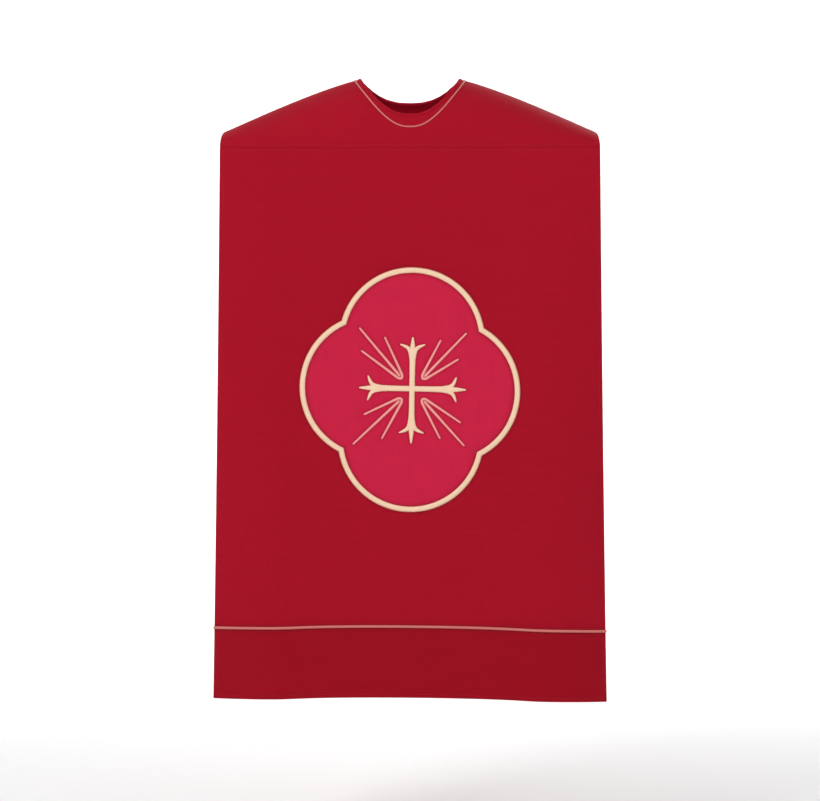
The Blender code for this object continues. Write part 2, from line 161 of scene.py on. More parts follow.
class Nodes:
    """Shorthand for adding and joining the nodes of one material."""

    def __init__(self, name):
        self.material = bpy.data.materials.new(name)
        self.material.use_nodes = True
        self.tree = self.material.node_tree
        self.shader = self.tree.nodes["Principled BSDF"]

    def add(self, kind, inputs=None, **settings):
        node = self.tree.nodes.new(kind)
        for key, value in settings.items():
            setattr(node, key, value)
        for key, value in (inputs or {}).items():
            if isinstance(value, bpy.types.NodeSocket):
                self.tree.links.new(value, node.inputs[key])
            else:
                node.inputs[key].default_value = value
        return node

    def math(self, operation, first, second=0.0):
        return self.add("ShaderNodeMath", {0: first, 1: second}, operation=operation).outputs[0]

    def noise(self, vector, scale, stretch=(1, 1, 1), detail=2.0):
        """Noise over a surface in millimetres: scale is the size of its features."""
        mapping = self.add(
            "ShaderNodeMapping", {"Vector": vector, "Scale": [s / scale for s in stretch]}
        )
        inputs = {"Vector": mapping.outputs[0], "Scale": 1.0, "Detail": detail}
        return self.add("ShaderNodeTexNoise", inputs).outputs["Fac"]

    def waves(self, coordinate, pitch):
        """A sine along a coordinate in millimetres, from -1 to 1."""
        return self.math("SINE", self.math("MULTIPLY", coordinate, 2 * math.pi / pitch))

    def tone(self, colour, factor, low, high):
        """Colour made darker or lighter as the factor goes from 0 to 1."""
        value = self.add(
            "ShaderNodeMapRange", {"Value": factor, "To Min": low, "To Max": high}
        ).outputs[0]
        hue = self.add("ShaderNodeHueSaturation", {"Color": colour, "Value": value})
        return hue.outputs[0]

    def bump(self, height, strength, distance, normal=None):
        inputs = {"Height": height, "Strength": strength, "Distance": distance}
        if normal is not None:
            inputs["Normal"] = normal
        return self.add("ShaderNodeBump", inputs).outputs[0]

    def finish(self, colour, normal, **constants):
        self.tree.links.new(colour, self.shader.inputs["Base Color"])
        self.tree.links.new(normal, self.shader.inputs["Normal"])
        for key, value in constants.items():
            name = key.replace("_", " ").title().replace("Ior", "IOR")
            self.shader.inputs[name].default_value = value
        return self.material

    def rough(self, factor, low, high):
        inputs = {"Value": factor, "To Min": low, "To Max": high}
        value = self.add("ShaderNodeMapRange", inputs).outputs[0]
        self.tree.links.new(value, self.shader.inputs["Roughness"])


ROSE = (1.0, 0.45, 0.48, 1.0)  # the tint that red cloth gives to its own highlights


def flat_coordinates(nodes):
    """The cloth's own flat coordinates in millimetres, and their two directions."""
    uv = nodes.add("ShaderNodeUVMap", uv_map="flat")
    inputs = {0: uv.outputs[0], 1: (1000, 1000, 1000)}
    scaled = nodes.add("ShaderNodeVectorMath", inputs, operation="MULTIPLY")
    split = nodes.add("ShaderNodeSeparateXYZ", {0: scaled.outputs[0]})
    return scaled.outputs[0], split.outputs[0], split.outputs[1]


def plain(nodes, colour):
    output = nodes.add("ShaderNodeRGB").outputs[0]
    output.default_value = (*colour, 1.0)
    return output


def fading(nodes, distance, reach):
    """1 at no distance, fading away over the reach in millimetres."""
    near = nodes.math("MULTIPLY", nodes.math("MAXIMUM", distance, 0.0), -1 / reach)
    return nodes.math("EXPONENT", near)


def from_lobes(nodes, place, middle_down):
    """Distance in millimetres outside the middle of the medallion's border."""
    nearest = None
    for x, z in LOBE_CENTRES:
        centre = (x / MM, (z - middle_down) / MM, 0)
        away = nodes.add("ShaderNodeVectorMath", {0: place, 1: centre}, operation="DISTANCE")
        away = away.outputs["Value"]
        nearest = away if nearest is None else nodes.math("MINIMUM", nearest, away)
    return nodes.math("SUBTRACT", nearest, LOBE_RADIUS / MM)


def painted_shade_beside_stitching(nodes, place, across, down, medallion):
    """How much painted shade the cloth has beside the piping and round the medallion, where stitches
    draw it in.
    """
    off_crown = nodes.math("SUBTRACT", across, HEM_CROWN / MM)
    bow = nodes.math("MULTIPLY", nodes.math("MULTIPLY", off_crown, off_crown), HEM_BOW * MM)
    off_piping = nodes.math("ADD", nodes.math("ADD", down, PIPING_DOWN / MM), bow)
    off_piping = nodes.math("ABSOLUTE", off_piping)
    factor = fading(nodes, nodes.math("SUBTRACT", off_piping, HEM_PIPING_RADIUS / MM), 2.2)
    if medallion:
        beyond = from_lobes(nodes, place, MEDALLION_DOWN)
        beyond = nodes.math("SUBTRACT", beyond, BORDER_WIDTH / MM / 2)
        factor = nodes.math("MAXIMUM", factor, fading(nodes, beyond, 2.0))
    return factor


def woven(name, colour, pitch, slub, gloss, sheen, lines=False, medallion=False, depth=0.12):
    """A plain weave with uneven threads. Pitch is the thread spacing and slub the unevenness. With
    lines, the cloth has painted shade beside the piping, where it is stitched through, and with
    medallion also round the medallion's border."""
    nodes = Nodes(name)
    place, across, down = flat_coordinates(nodes)
    wander = nodes.math("MULTIPLY", nodes.noise(place, 9.0), pitch * 1.6)
    warps = nodes.waves(nodes.math("ADD", across, wander), 2 * pitch)
    weave = nodes.math("MULTIPLY", warps, nodes.waves(down, 2 * pitch))
    over = nodes.math("ADD", nodes.math("MULTIPLY", weave, 0.5), 0.5)
    weft = nodes.noise(place, 1.0, (0.035, 1.5, 1), 3.0)
    warp = nodes.noise(place, 1.0, (1.5, 0.035, 1), 3.0)
    cloud = nodes.noise(place, 130.0, detail=3.0)
    streak = nodes.noise(place, 4.0, (0.03, 1.0, 1), 3.0)
    mottle = nodes.noise(place, 7.0, detail=4.0)
    # Painted light and shade of the weave: lighter where threads lie over, darker in the gaps
    # between them.
    colour = nodes.tone(plain(nodes, colour), over, 0.80, 1.14)
    colour = nodes.tone(colour, streak, 0.91, 1.09)
    colour = nodes.tone(colour, mottle, 0.93, 1.07)
    if lines:
        # Painted shade beside the piping, and round the medallion's border.
        colour = nodes.tone(colour, painted_shade_beside_stitching(nodes, place, across, down, medallion), 1.0, 0.72)
    colour = nodes.tone(colour, weft, 1 - slub, 1 + slub)
    colour = nodes.tone(colour, warp, 1 - slub * 0.7, 1 + slub * 0.7)
    colour = nodes.tone(colour, cloud, 0.965, 1.035)
    normal = nodes.bump(over, 0.8, depth * MM)
    normal = nodes.bump(weft, 0.45, depth * MM, normal)
    normal = nodes.bump(streak, 0.35, 0.25 * MM, normal)
    nodes.rough(weft, gloss - 0.05, gloss + 0.08)
    return nodes.finish(
        colour, normal, sheen_weight=sheen, sheen_roughness=0.45, sheen_tint=ROSE,
        specular_ior_level=0.07, specular_tint=ROSE,
    )


def satin(name, colour, pitch, gloss, anisotropy, shine, medallion=False):
    """A smooth satin, whose long floats run down the cloth and catch the light, in its own colour as
    silk does. On the medallion it is drawn in along the border and the embroidery, and painted
    darker there as shade."""
    nodes = Nodes(name)
    place, _, down = flat_coordinates(nodes)
    floats = nodes.noise(place, pitch, (1.0, 0.05, 1), 2.0)
    ribs = nodes.waves(down, 1.1)
    cloud = nodes.noise(place, 34.0, detail=4.0)
    line = nodes.noise(place, 2.4, (1.0, 0.03, 1), 2.0)
    colour = nodes.tone(plain(nodes, colour), floats, 0.86, 1.14)
    colour = nodes.tone(colour, line, 0.93, 1.07)
    colour = nodes.tone(colour, cloud, 0.92, 1.08)
    if medallion:
        # Painted shade on the satin along the inside of the border, which stands above it.
        inside = nodes.math("MULTIPLY", from_lobes(nodes, place, 0.0), -1.0)
        inside = nodes.math("SUBTRACT", inside, BORDER_WIDTH / MM / 2)
        colour = nodes.tone(colour, fading(nodes, inside, 2.4), 1.0, 0.58)
        # Painted shade on the satin beside the cross and rays, which stand up from it.
        drawn = nodes.add("ShaderNodeAttribute", attribute_name="shade").outputs["Fac"]
        colour = nodes.tone(colour, drawn, 1.0, 0.62)
    normal = nodes.bump(floats, 0.40, 0.06 * MM)
    normal = nodes.bump(ribs, 0.20, 0.05 * MM, normal)
    normal = nodes.bump(line, 0.30, 0.12 * MM, normal)
    nodes.rough(floats, gloss - 0.06, gloss + 0.08)
    return nodes.finish(
        colour, normal, metallic=shine, anisotropic=anisotropy, sheen_weight=0.03,
        sheen_roughness=0.35, sheen_tint=ROSE, specular_ior_level=0.0,
    )


def thread(name, colour, shadow, pitch, gloss):
    """Stitched or twisted thread, whose fibres run across the flat coordinates' first direction. It
    has painted shade where threads dip between their neighbours, and at the rims of the stitching."""
    nodes = Nodes(name)
    place, _, _ = flat_coordinates(nodes)
    strand = nodes.noise(place, pitch, (1.0, 0.12, 1), 1.0)
    fibre = nodes.noise(place, 0.16, (1.0, 0.06, 1), 2.0)
    cloud = nodes.noise(place, 22.0)
    painted_thread_shade = nodes.add("ShaderNodeAttribute", attribute_name="shade").outputs["Fac"]
    painted_thread_shade = nodes.math("ADD", painted_thread_shade, nodes.math("MULTIPLY", strand, 0.25))
    mix = nodes.add("ShaderNodeMix", {"Factor": painted_thread_shade}, data_type="RGBA")
    mix.inputs["A"].default_value = (*colour, 1.0)
    mix.inputs["B"].default_value = (*shadow, 1.0)
    mix.clamp_factor = True
    colour = nodes.tone(mix.outputs["Result"], fibre, 0.90, 1.10)
    colour = nodes.tone(colour, cloud, 0.96, 1.04)
    normal = nodes.bump(fibre, 0.5, 0.06 * MM)
    nodes.rough(fibre, gloss - 0.08, gloss + 0.12)
    return nodes.finish(
        colour, normal, anisotropic=0.35, sheen_weight=0.05, sheen_roughness=0.4,
        specular_ior_level=0.3,
    )


def matted(name, colour):
    """Felt: short fibres in every direction."""
    nodes = Nodes(name)
    place, _, _ = flat_coordinates(nodes)
    fibre = nodes.noise(place, 0.5, detail=6.0)
    colour = nodes.tone(plain(nodes, colour), fibre, 0.8, 1.2)
    nodes.rough(fibre, 0.85, 1.0)
    return nodes.finish(colour, nodes.bump(fibre, 0.7, 0.2 * MM), sheen_weight=0.4)


RED = (0.356, 0.0057, 0.0182)
RED_CLOTH = woven("red_cloth", RED, 0.6, 0.08, 0.72, 0.02)
RED_FRONT = woven("red_front", RED, 0.6, 0.08, 0.72, 0.02, lines=True, medallion=True)
RED_BACK = woven("red_back", RED, 0.6, 0.08, 0.72, 0.02, lines=True)
RED_BAND = woven("red_hem_band", (0.312, 0.0049, 0.0142), 0.6, 0.08, 0.74, 0.02, lines=True)
RED_FACING = woven("red_facing", (0.345, 0.0046, 0.0170), 0.6, 0.08, 0.74, 0.02)
RED_LINING = satin("red_lining", (0.400, 0.0065, 0.0210), 0.35, 0.42, 0.3, 0.25)
CANVAS = woven("canvas", (0.640, 0.590, 0.470), 0.9, 0.16, 0.9, 0.1, depth=0.3)
CRIMSON_SATIN = satin("crimson_satin", (0.560, 0.0180, 0.0570), 0.30, 0.40, 0.35, 0.25, True)
GOLD_THREAD = thread("gold_thread", (0.930, 0.700, 0.490), (0.560, 0.240, 0.130), 0.9, 0.42)
ROSE_THREAD = thread("rose_gold_thread", (0.895, 0.355, 0.325), (0.540, 0.110, 0.105), 0.9, 0.42)
GOLD_PIPING = thread("gold_piping", (0.665, 0.190, 0.172), (0.410, 0.085, 0.078), 1.0, 0.45)
RED_THREAD = thread("red_thread", (0.400, 0.0080, 0.0240), (0.300, 0.0050, 0.0150), 0.8, 0.5)
FELT = matted("felt", (0.420, 0.030, 0.060))


# ---------------------------------------------------------------- meshes


ACROSS_FIRST = ((0, 0), (0, 1), (1, 1), (1, 0))  # corners of a quad, as rows and columns ahead
DOWN_FIRST = ((0, 0), (1, 0), (1, 1), (0, 1))


def grid_quads(rows, columns, ring_rows, ring_columns, steps):
    """Quads over a grid of points, and the row and column of each of their corners. In a ring the
    last row or column joins the first, and a corner's own row or column is one past the last."""
    last = rows - (not ring_rows), columns - (not ring_columns)
    row, column = np.meshgrid(np.arange(last[0]), np.arange(last[1]), indexing="ij")
    corners = [(row + down, column + across) for down, across in steps]
    quads = np.stack([r % rows * columns + c % columns for r, c in corners], axis=-1)
    return quads.reshape(-1, 4), corners


def corner_values(values, corners):
    return np.stack([values[r, c] for r, c in corners], axis=-2).reshape(-1, 2)


def sheet_mesh(name, points, flat, material, ring=False, flip=False):
    """A mesh over a grid of points, with flat coordinates in metres. A ring joins its last column
    to its first, and its flat coordinates then have one column more than its points."""
    steps = ACROSS_FIRST[::-1] if flip else ACROSS_FIRST
    faces, corners = grid_quads(*points.shape[:2], False, ring, steps)
    loops = corner_values(flat, corners)
    return make_object(name, points.reshape(-1, 3), faces.tolist(), loops, material)


def make_object(name, points, faces, loops, material):
    mesh = bpy.data.meshes.new(name)
    mesh.from_pydata(points.tolist(), [], faces)
    layer = mesh.uv_layers.new(name="flat")
    layer.data.foreach_set("uv", np.asarray(loops, np.float32).ravel())
    mesh.materials.append(material)
    mesh.shade_smooth()
    mesh.update()
    obj = bpy.data.objects.new(name, mesh)
    bpy.context.scene.collection.objects.link(obj)
    return obj


def tube(name, centres, sections, along, material, ring=False):
    """A closed tube: each row of sections is the outline round one of the centres."""
    points = centres[:, None, :] + sections
    count = points.shape[1]
    turn = np.linspace(0, 1, count + 1)
    girth = np.linalg.norm(sections[0] - np.roll(sections[0], 1, axis=0), axis=1).sum()
    flat = np.stack(np.broadcast_arrays(along[:, None], turn[None, :] * girth), axis=-1)
    if ring:
        points = np.concatenate([points, points[:1]])
        step = along[-1] - along[-2]
        flat = np.concatenate([flat, flat[-1:] + (step, 0)])
    obj = sheet_mesh(name, points, flat, material, ring=True)
    weld_or_cap(obj, ring, count)
    return obj


def weld_or_cap(obj, ring, count):
    mesh = bmesh.new()
    mesh.from_mesh(obj.data)
    if ring:
        bmesh.ops.remove_doubles(mesh, verts=mesh.verts, dist=1e-6)
    else:
        bmesh.ops.holes_fill(mesh, edges=mesh.edges, sides=count)
    bmesh.ops.recalc_face_normals(mesh, faces=mesh.faces)
    mesh.to_mesh(obj.data)
    mesh.free()
    obj.data.shade_smooth()


def thicken(obj, thickness):
    """Gives cloth its thickness, in from the face that its normals point out of."""
    shell = obj.modifiers.new("thickness", "SOLIDIFY")
    shell.thickness = thickness
    shell.offset = -1.0
    return obj


def add_shade(piece, shade):
    """Keeps how much painted shade each point of a piece has, for its material."""
    layer = piece.data.attributes.new("shade", "FLOAT", "POINT")
    layer.data.foreach_set("value", np.resize(shade, len(piece.data.vertices)).astype(np.float32))


def dress(piece, node, body=None, panel=None):
    """Puts a piece in a CAD node's place. It rides on a body, or else has its transform baked into
    its mesh.
    """
    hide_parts(node)
    if panel:
        bend(piece)
    else:
        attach(piece, body)


def bend(piece):
    """Bakes the piece's transform into its mesh. The piece already lies on its panel's face, and is
    not bent further.
    """
    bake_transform(piece)


def unit(vectors):
    return vectors / np.linalg.norm(vectors, axis=-1, keepdims=True)


def smoothstep(t):
    t = np.clip(t, 0, 1)
    return t * t * (3 - 2 * t)


def frange(start, end, step):
    """Even stations from start to end, about a step apart."""
    return np.linspace(start, end, max(2, round(abs(end - start) / step) + 1))


def lengths_along(path):
    """Distances of a path's points from its start."""
    return np.concatenate([[0], np.cumsum(np.linalg.norm(np.diff(path, axis=0), axis=1))])


def at_lengths(values, along, where):
    """Values given along a path, at other distances along it."""
    return np.stack([np.interp(where, along, column) for column in values.T], axis=-1)


def graded(start, end, step, fine, reach):
    """Stations from start to end that are closer together near both ends."""
    near = frange(start, start + reach, fine)
    far = frange(end - reach, end, fine)
    return np.concatenate([near[:-1], frange(start + reach, end - reach, step), far[1:]])


# ---------------------------------------------------------------- the faces that cloth lies on


def bicubic(field, row, column):
    """Smooth values of a grid of vectors at fractional rows and columns."""
    padded = np.pad(field, ((2, 2), (2, 2), (0, 0)), mode="reflect", reflect_type="odd")
    row = np.clip(row, -1, field.shape[0]) + 2
    column = np.clip(column, -1, field.shape[1]) + 2
    first_row = np.clip(np.floor(row).astype(int), 1, padded.shape[0] - 3)
    first_column = np.clip(np.floor(column).astype(int), 1, padded.shape[1] - 3)
    row_weights = spline_weights(row - first_row)
    column_weights = spline_weights(column - first_column)
    total = 0.0
    for i in range(4):
        for j in range(4):
            weight = (row_weights[i] * column_weights[j])[..., None]
            total = total + weight * padded[first_row + i - 1, first_column + j - 1]
    return total


def spline_weights(t):
    """Weights of four neighbours in a uniform cubic B-spline."""
    return (
        (1 - t) ** 3 / 6,
        (3 * t**3 - 6 * t**2 + 4) / 6,
        (-3 * t**3 + 3 * t**2 + 3 * t + 1) / 6,
        t**3 / 6,
    )


class Face:
    """A curved face in two coordinates. place() gives points on it, and lay() in its layers."""

    step = (0.004, 1.2 * MM)

    def frame_at(self, a, b):
        """Points on the face, its unit normals, and its unit directions along a and b."""
        da, db = self.step
        along_a = unit(self.place(a + da, b) - self.place(a - da, b))
        along_b = unit(self.place(a, b + db) - self.place(a, b - db))
        normal = unit(np.cross(along_a, along_b)) * self.handed
        return self.place(a, b), normal, along_a, along_b

    def lay(self, a, b, depth=0.0):
        points, normals, _, _ = self.frame_at(a, b)
        return points - normals * np.asarray(depth)[..., None]


class Panel(Face):
    """The front or back: a is -1 to 1 across it, and b the distance below its seam."""

    def __init__(self, body, side):
        self.body = body
        self.side = side
        self.handed = side
        self.lean = LEAN[body]
        self.moved = None

    def half_width(self, down):
        return TOP_HALF_WIDTH + (HEM_HALF_WIDTH - TOP_HALF_WIDTH) * down / PANEL_LENGTH

    def still(self, u, down):
        """The plain shape that the panel hangs in, before the simulation."""
        fall = down / PANEL_LENGTH
        off_flat = np.clip((np.abs(u) - FLAT_SHARE) / (1 - FLAT_SHARE), 0, None)
        out = -SIDE_SET_BACK * (1 - (1 - fall) ** 2) * off_flat**2
        out = out + self.details(u, down)
        x = u * self.half_width(down)
        y = self.side * (HALF_DEPTH + out * math.cos(self.lean) + down * math.sin(self.lean))
        z = SEAM_Z - down * math.cos(self.lean) + out * math.sin(self.lean)
        return np.stack(np.broadcast_arrays(x, y, z), axis=-1)

    def details(self, u, down):
        """Small puckers beside the seams, and round the medallion on the front."""
        x = u * self.half_width(down)
        swell = 0.12 * MM * np.sin(x / (11 * MM) + 2.1 * np.sin(x / (47 * MM)))
        seam = np.exp(-np.abs(down) / (14 * MM))
        piping = np.exp(-np.abs(down - piping_down(x)) / (9 * MM))
        edge = np.exp(-(1 - np.abs(u)) * self.half_width(down) / (7 * MM))
        side = 0.10 * MM * np.sin(down / (9.5 * MM) + 1.7 * np.sin(down / (61 * MM))) * edge
        return swell * (seam + piping) + side + self.medallion_pull(x, down)

    def medallion_pull(self, x, down):
        if self.side == BACK:
            return 0.0
        up = MEDALLION_DOWN - down
        angle = np.arctan2(up, x)
        beyond = beyond_border(x, up)
        ripple = np.sin(angle * 58 + 1.5 * np.sin(angle * 7))
        drawn = 0.45 * MM * np.exp(-((beyond / (7 * MM)) ** 2))
        return 0.13 * MM * ripple * np.exp(-np.abs(beyond) / (9 * MM)) - drawn

    def place(self, u, down):
        u, down = np.broadcast_arrays(np.asarray(u, float), np.asarray(down, float))
        points = self.still(u, down)
        if self.moved is not None:
            rows, columns = self.moved.shape[:2]
            row = down / PANEL_LENGTH * (rows - 1)
            column = (u + 1) / 2 * (columns - 1)
            points = points + bicubic(self.moved, row, column)
        return points

    def lay_flat(self, x, down, depth=0.0):
        """As lay(), for x in metres across the panel."""
        return self.lay(x / self.half_width(down), down, depth)


class Yoke(Face):
    """Over the shoulders: a is -1 to 1 across it, and b turns from the front seam to the back's."""

    step = (0.004, 0.01)
    handed = 1

    def half_width(self, turn):
        return TOP_HALF_WIDTH

    def place(self, u, turn):
        u, turn = np.broadcast_arrays(np.asarray(u, float), np.asarray(turn, float))
        x = u * TOP_HALF_WIDTH
        soft = 0.9 * MM * np.sin(3.1 * u + 1.3) * np.sin(2 * turn) ** 2
        arch = (ridge_z(x) - SEAM_Z) * np.sin(turn)
        y = -(HALF_DEPTH + soft) * np.cos(turn)
        return np.stack([x, y, SEAM_Z + arch + soft * np.sin(turn)], axis=-1)


def ridge_z(x):
    out = np.clip(np.abs(x) - LEVEL_HALF_WIDTH, 0, None) / (TOP_HALF_WIDTH - LEVEL_HALF_WIDTH)
    return -SHOULDER_DROP * out**SHOULDER_CURVE


def piping_down(x):
    return PIPING_DOWN + droop(x)


def droop(x):
    return HEM_BOW * (x - HEM_CROWN) ** 2


def beyond_border(x, z):
    """Distance outside the middle of the medallion's border, or inside it where negative."""
    return np.min([np.hypot(x - a, z - b) for a, b in LOBE_CENTRES], axis=0) - LOBE_RADIUS


# ---------------------------------------------------------------- hanging the panels


HANGING_FRAMES = 40
HANGING_CLOTH = {
    "quality": 8, "mass": 0.25, "tension_stiffness": 25, "compression_stiffness": 25,
    "shear_stiffness": 15, "air_damping": 4,
}


def hang(panel, flare, waves, cap, stiffness, seed):
    """Lets the panel's cloth hang from its seam, and keeps how far it moved from its plain shape.

    The cloth is cut wider than its plain shape by flare at the hem, so it settles into soft waves.
    """
    rows, columns = 45, 33
    u, down = np.meshgrid(np.linspace(-1, 1, columns), np.linspace(0, PANEL_LENGTH, rows))
    still = panel.still(u, down)
    draw = np.random.default_rng(seed)
    start = np.zeros(u.shape)
    for wave in range(1, 4):
        phase = draw.uniform(0, 2 * math.pi)
        start += np.sin(u * math.pi * (waves - 1 + wave) / 2 + phase) / wave
    outward = np.array((0, panel.side, 0.0))
    start = (start * (down / PANEL_LENGTH) ** 1.3 * cap * 0.5)[..., None] * outward
    obj = sheet_mesh("hanging", still + start, np.zeros((rows, columns, 2)), RED_CLOTH)
    cut = still.copy()
    cut[..., 0] *= 1 + flare * (down / PANEL_LENGTH)
    obj.shape_key_add(name="hung")
    key = obj.shape_key_add(name="cut")
    key.data.foreach_set("co", cut.astype(np.float32).ravel())
    pins = obj.vertex_groups.new(name="pins")
    pins.add(list(range(columns)), 1.0, "REPLACE")
    cloth = obj.modifiers.new("cloth", "CLOTH")
    cloth.settings.rest_shape_key = key
    cloth.settings.vertex_group_mass = "pins"
    cloth.settings.bending_stiffness = stiffness
    for setting, value in HANGING_CLOTH.items():
        setattr(cloth.settings, setting, value)
    scene = bpy.context.scene
    for number in range(1, HANGING_FRAMES + 1):
        scene.frame_set(number)
    evaluated = obj.evaluated_get(bpy.context.evaluated_depsgraph_get())
    flat = np.empty(rows * columns * 3, np.float32)
    evaluated.data.vertices.foreach_get("co", flat)
    moved = flat.reshape(rows, columns, 3).astype(float) - still
    bpy.data.objects.remove(obj)
    scene.frame_set(1)
    length = np.linalg.norm(moved, axis=-1, keepdims=True) + 1e-9
    panel.moved = moved * cap * np.tanh(length / cap) / length


# ---------------------------------------------------------------- cloth cut to shape


def turned_in(count, ends):
    """Turns of a row of points whose first and last edges may turn in, and each one's point."""
    first, last = -QUARTER_TURN[::-1] if ends[0] else [], QUARTER_TURN if ends[1] else []
    turn = np.concatenate([first, np.zeros(count), last])
    return turn, np.clip(np.arange(len(turn)) - len(first), 0, count - 1)


def rolled(face, u, b, radius_a, radius_b, a_ends, b_ends, facing_in=False):
    """Points of cloth whose edges turn in. Each radius is that of its edges' quarter roll, and the
    ends say which of the first and last edges turn in along u and along b. Facing in, the cloth is
    the inner half, which meets the outer one in the middle of the edge."""
    a_turn, column_of = turned_in(len(u), a_ends)
    b_turn, row_of = turned_in(b.shape[0], b_ends)
    down = b[np.ix_(row_of, column_of)]
    place = np.broadcast_to(u[column_of], down.shape)
    points, normals, along_a, along_b = face.frame_at(place, down)
    a_turn = np.broadcast_to(a_turn, down.shape)[..., None]
    b_turn = np.broadcast_to(b_turn[:, None], down.shape)[..., None]
    depth = radius_a * (1 - np.cos(a_turn)) + radius_b * (1 - np.cos(b_turn))
    deepest = np.maximum(radius_a * (a_turn != 0), radius_b * (b_turn != 0))
    depth = np.where((a_turn != 0) & (b_turn != 0), np.minimum(depth, deepest), depth)
    if facing_in:
        depth = 2 * EDGE_ROLL - depth
    reach = along_a * np.sin(a_turn) * radius_a + along_b * np.sin(b_turn) * radius_b
    across = place * face.half_width(down) + np.sin(a_turn[..., 0]) * radius_a
    return points - normals * depth + reach, np.stack([across, -down], axis=-1)


def panel_cloth(name, panel, u, tops, bottoms, rows, radius_b, a_ends, b_ends, material,
                facing_in=False):
    """Cloth on a panel between two lines, each given by its distance below the seam at every u."""
    down = tops + (bottoms - tops) * np.asarray(rows)[:, None]
    points, flat = rolled(panel, u, down, EDGE_ROLL, radius_b, a_ends, b_ends, facing_in)
    flip = (panel.side == FRONT) != facing_in
    return thicken(sheet_mesh(name, points, flat, material, flip=flip), CLOTH_THICKNESS)


def bending_rows(length, step):
    """Stations from 0 to 1 down a panel's piece, close together near its seam, where it would bend
    as its panel swings.
    """
    bent = frange(0, BEND_LENGTH * 1.1, 1.6 * MM)
    return np.concatenate([bent[:-1], frange(BEND_LENGTH * 1.1, length, step)]) / length


def across_panel(panel, u, line):
    """A line's distance below the seam at every u, where line is a function of x."""
    down = np.full(len(u), PANEL_LENGTH)
    return line(u * panel.half_width(down))


def seam_line(x):
    return 0 * x + INNER_SEAM_GAP


def turned_seam_line(x):
    return 0 * x + TURNED_SEAM_GAP


def above_piping(x):
    return piping_down(x) - PIPING_SLOT


def below_piping(x):
    return piping_down(x) + PIPING_SLOT


def hem_line(x):
    return PANEL_LENGTH - EDGE_ROLL + droop(x)


def hem_facing_line(x):
    return hem_line(x) - FACING_SET_BACK


def facing_line(x):
    return PANEL_LENGTH - HEM_FACING_DEPTH + droop(x)


def inner_u(inset=EDGE_ROLL, step=2.5 * MM):
    edge = 1 - inset / TOP_HALF_WIDTH
    step, fine, reach = (size / TOP_HALF_WIDTH for size in (step, 1.2 * MM, 8 * MM))
    return graded(-edge, edge, step, fine, reach)


def build_panel(panel):
    body = panel.body
    u = inner_u()
    seam, upper = across_panel(panel, u, turned_seam_line), across_panel(panel, u, above_piping)
    lower, hem = across_panel(panel, u, below_piping), across_panel(panel, u, hem_line)
    main = panel_cloth(
        f"{body}_cloth", panel, u, seam, upper, bending_rows(PIPING_DOWN, 4 * MM), SEAM_ROLL,
        (1, 1), (1, 1), RED_FRONT if panel.side == FRONT else RED_BACK,
    )
    dress(main, f"{body}_panel", panel=panel)

    band_depth = PANEL_LENGTH - PIPING_DOWN
    rows = graded(0, 1, 5 * MM / band_depth, 1.5 * MM / band_depth, 12 * MM / band_depth)
    band = panel_cloth(
        f"{body}_band_cloth", panel, u, lower, hem, rows, EDGE_ROLL, (1, 1), (1, 1), RED_BAND
    )
    dress(band, f"{body}_hem_band", body)
    build_canvas(panel)
    build_facings(panel, build_lining(panel))
    build_piping(panel)
    build_stitching(panel)


def flat_layer(name, panel, u, down, depth, thickness, material, inside):
    """A layer at a depth under the cloth, whose own face looks out or to the inside."""
    points = panel.lay(np.broadcast_to(u, down.shape), down, depth)
    flat = np.stack([u * TOP_HALF_WIDTH + 0 * down, -down], axis=-1)
    layer = sheet_mesh(name, points, flat, material, flip=(panel.side == FRONT) == inside)
    return thicken(layer, -thickness if inside else thickness)


def build_canvas(panel):
    u = inner_u(inset=CANVAS_SET_BACK, step=12 * MM)
    top, bottom = across_panel(panel, u, seam_line), across_panel(panel, u, hem_line) - 2 * MM
    down = top + (bottom - top) * bending_rows(PANEL_LENGTH, 12 * MM)[:, None]
    canvas = flat_layer(
        f"{panel.body}_canvas", panel, u, down, np.full(down.shape, CANVAS_DEPTH), CANVAS_THICKNESS,
        CANVAS, inside=False,
    )
    dress(canvas, f"{panel.body}_interlining", panel=panel)


def build_lining(panel):
    u = frange(-LINING_SHARE, LINING_SHARE, 5 * MM / TOP_HALF_WIDTH)
    top = across_panel(panel, u, seam_line)
    bottom = across_panel(panel, u, facing_line) + 6 * MM
    rows = bending_rows(PANEL_LENGTH, 5 * MM)[:, None]
    down = top + (bottom - top) * rows
    tacked = smoothstep(rows * 8) * smoothstep((1 - rows) * 16)
    tacked = tacked * smoothstep((1 - np.abs(u) / LINING_SHARE) * 9)
    depth = LINING_DEPTH + lining_waves(u * TOP_HALF_WIDTH, down) * tacked
    lining = flat_layer(
        f"{panel.body}_satin_lining", panel, u, down, depth, LINING_THICKNESS, RED_LINING,
        inside=True,
    )
    dress(lining, f"{panel.body}_lining", panel=panel)
    return lining


def side_strips():
    """Where the two side facings lie: each one's name, stations across, and which ends turn in."""
    outer = 1 - (EDGE_ROLL + FACING_SET_BACK) / TOP_HALF_WIDTH
    across = frange(FACING_SHARE, outer, 2.5 * MM / TOP_HALF_WIDTH)
    return ("left", -across[::-1], (1, 0)), ("right", across, (0, 1))


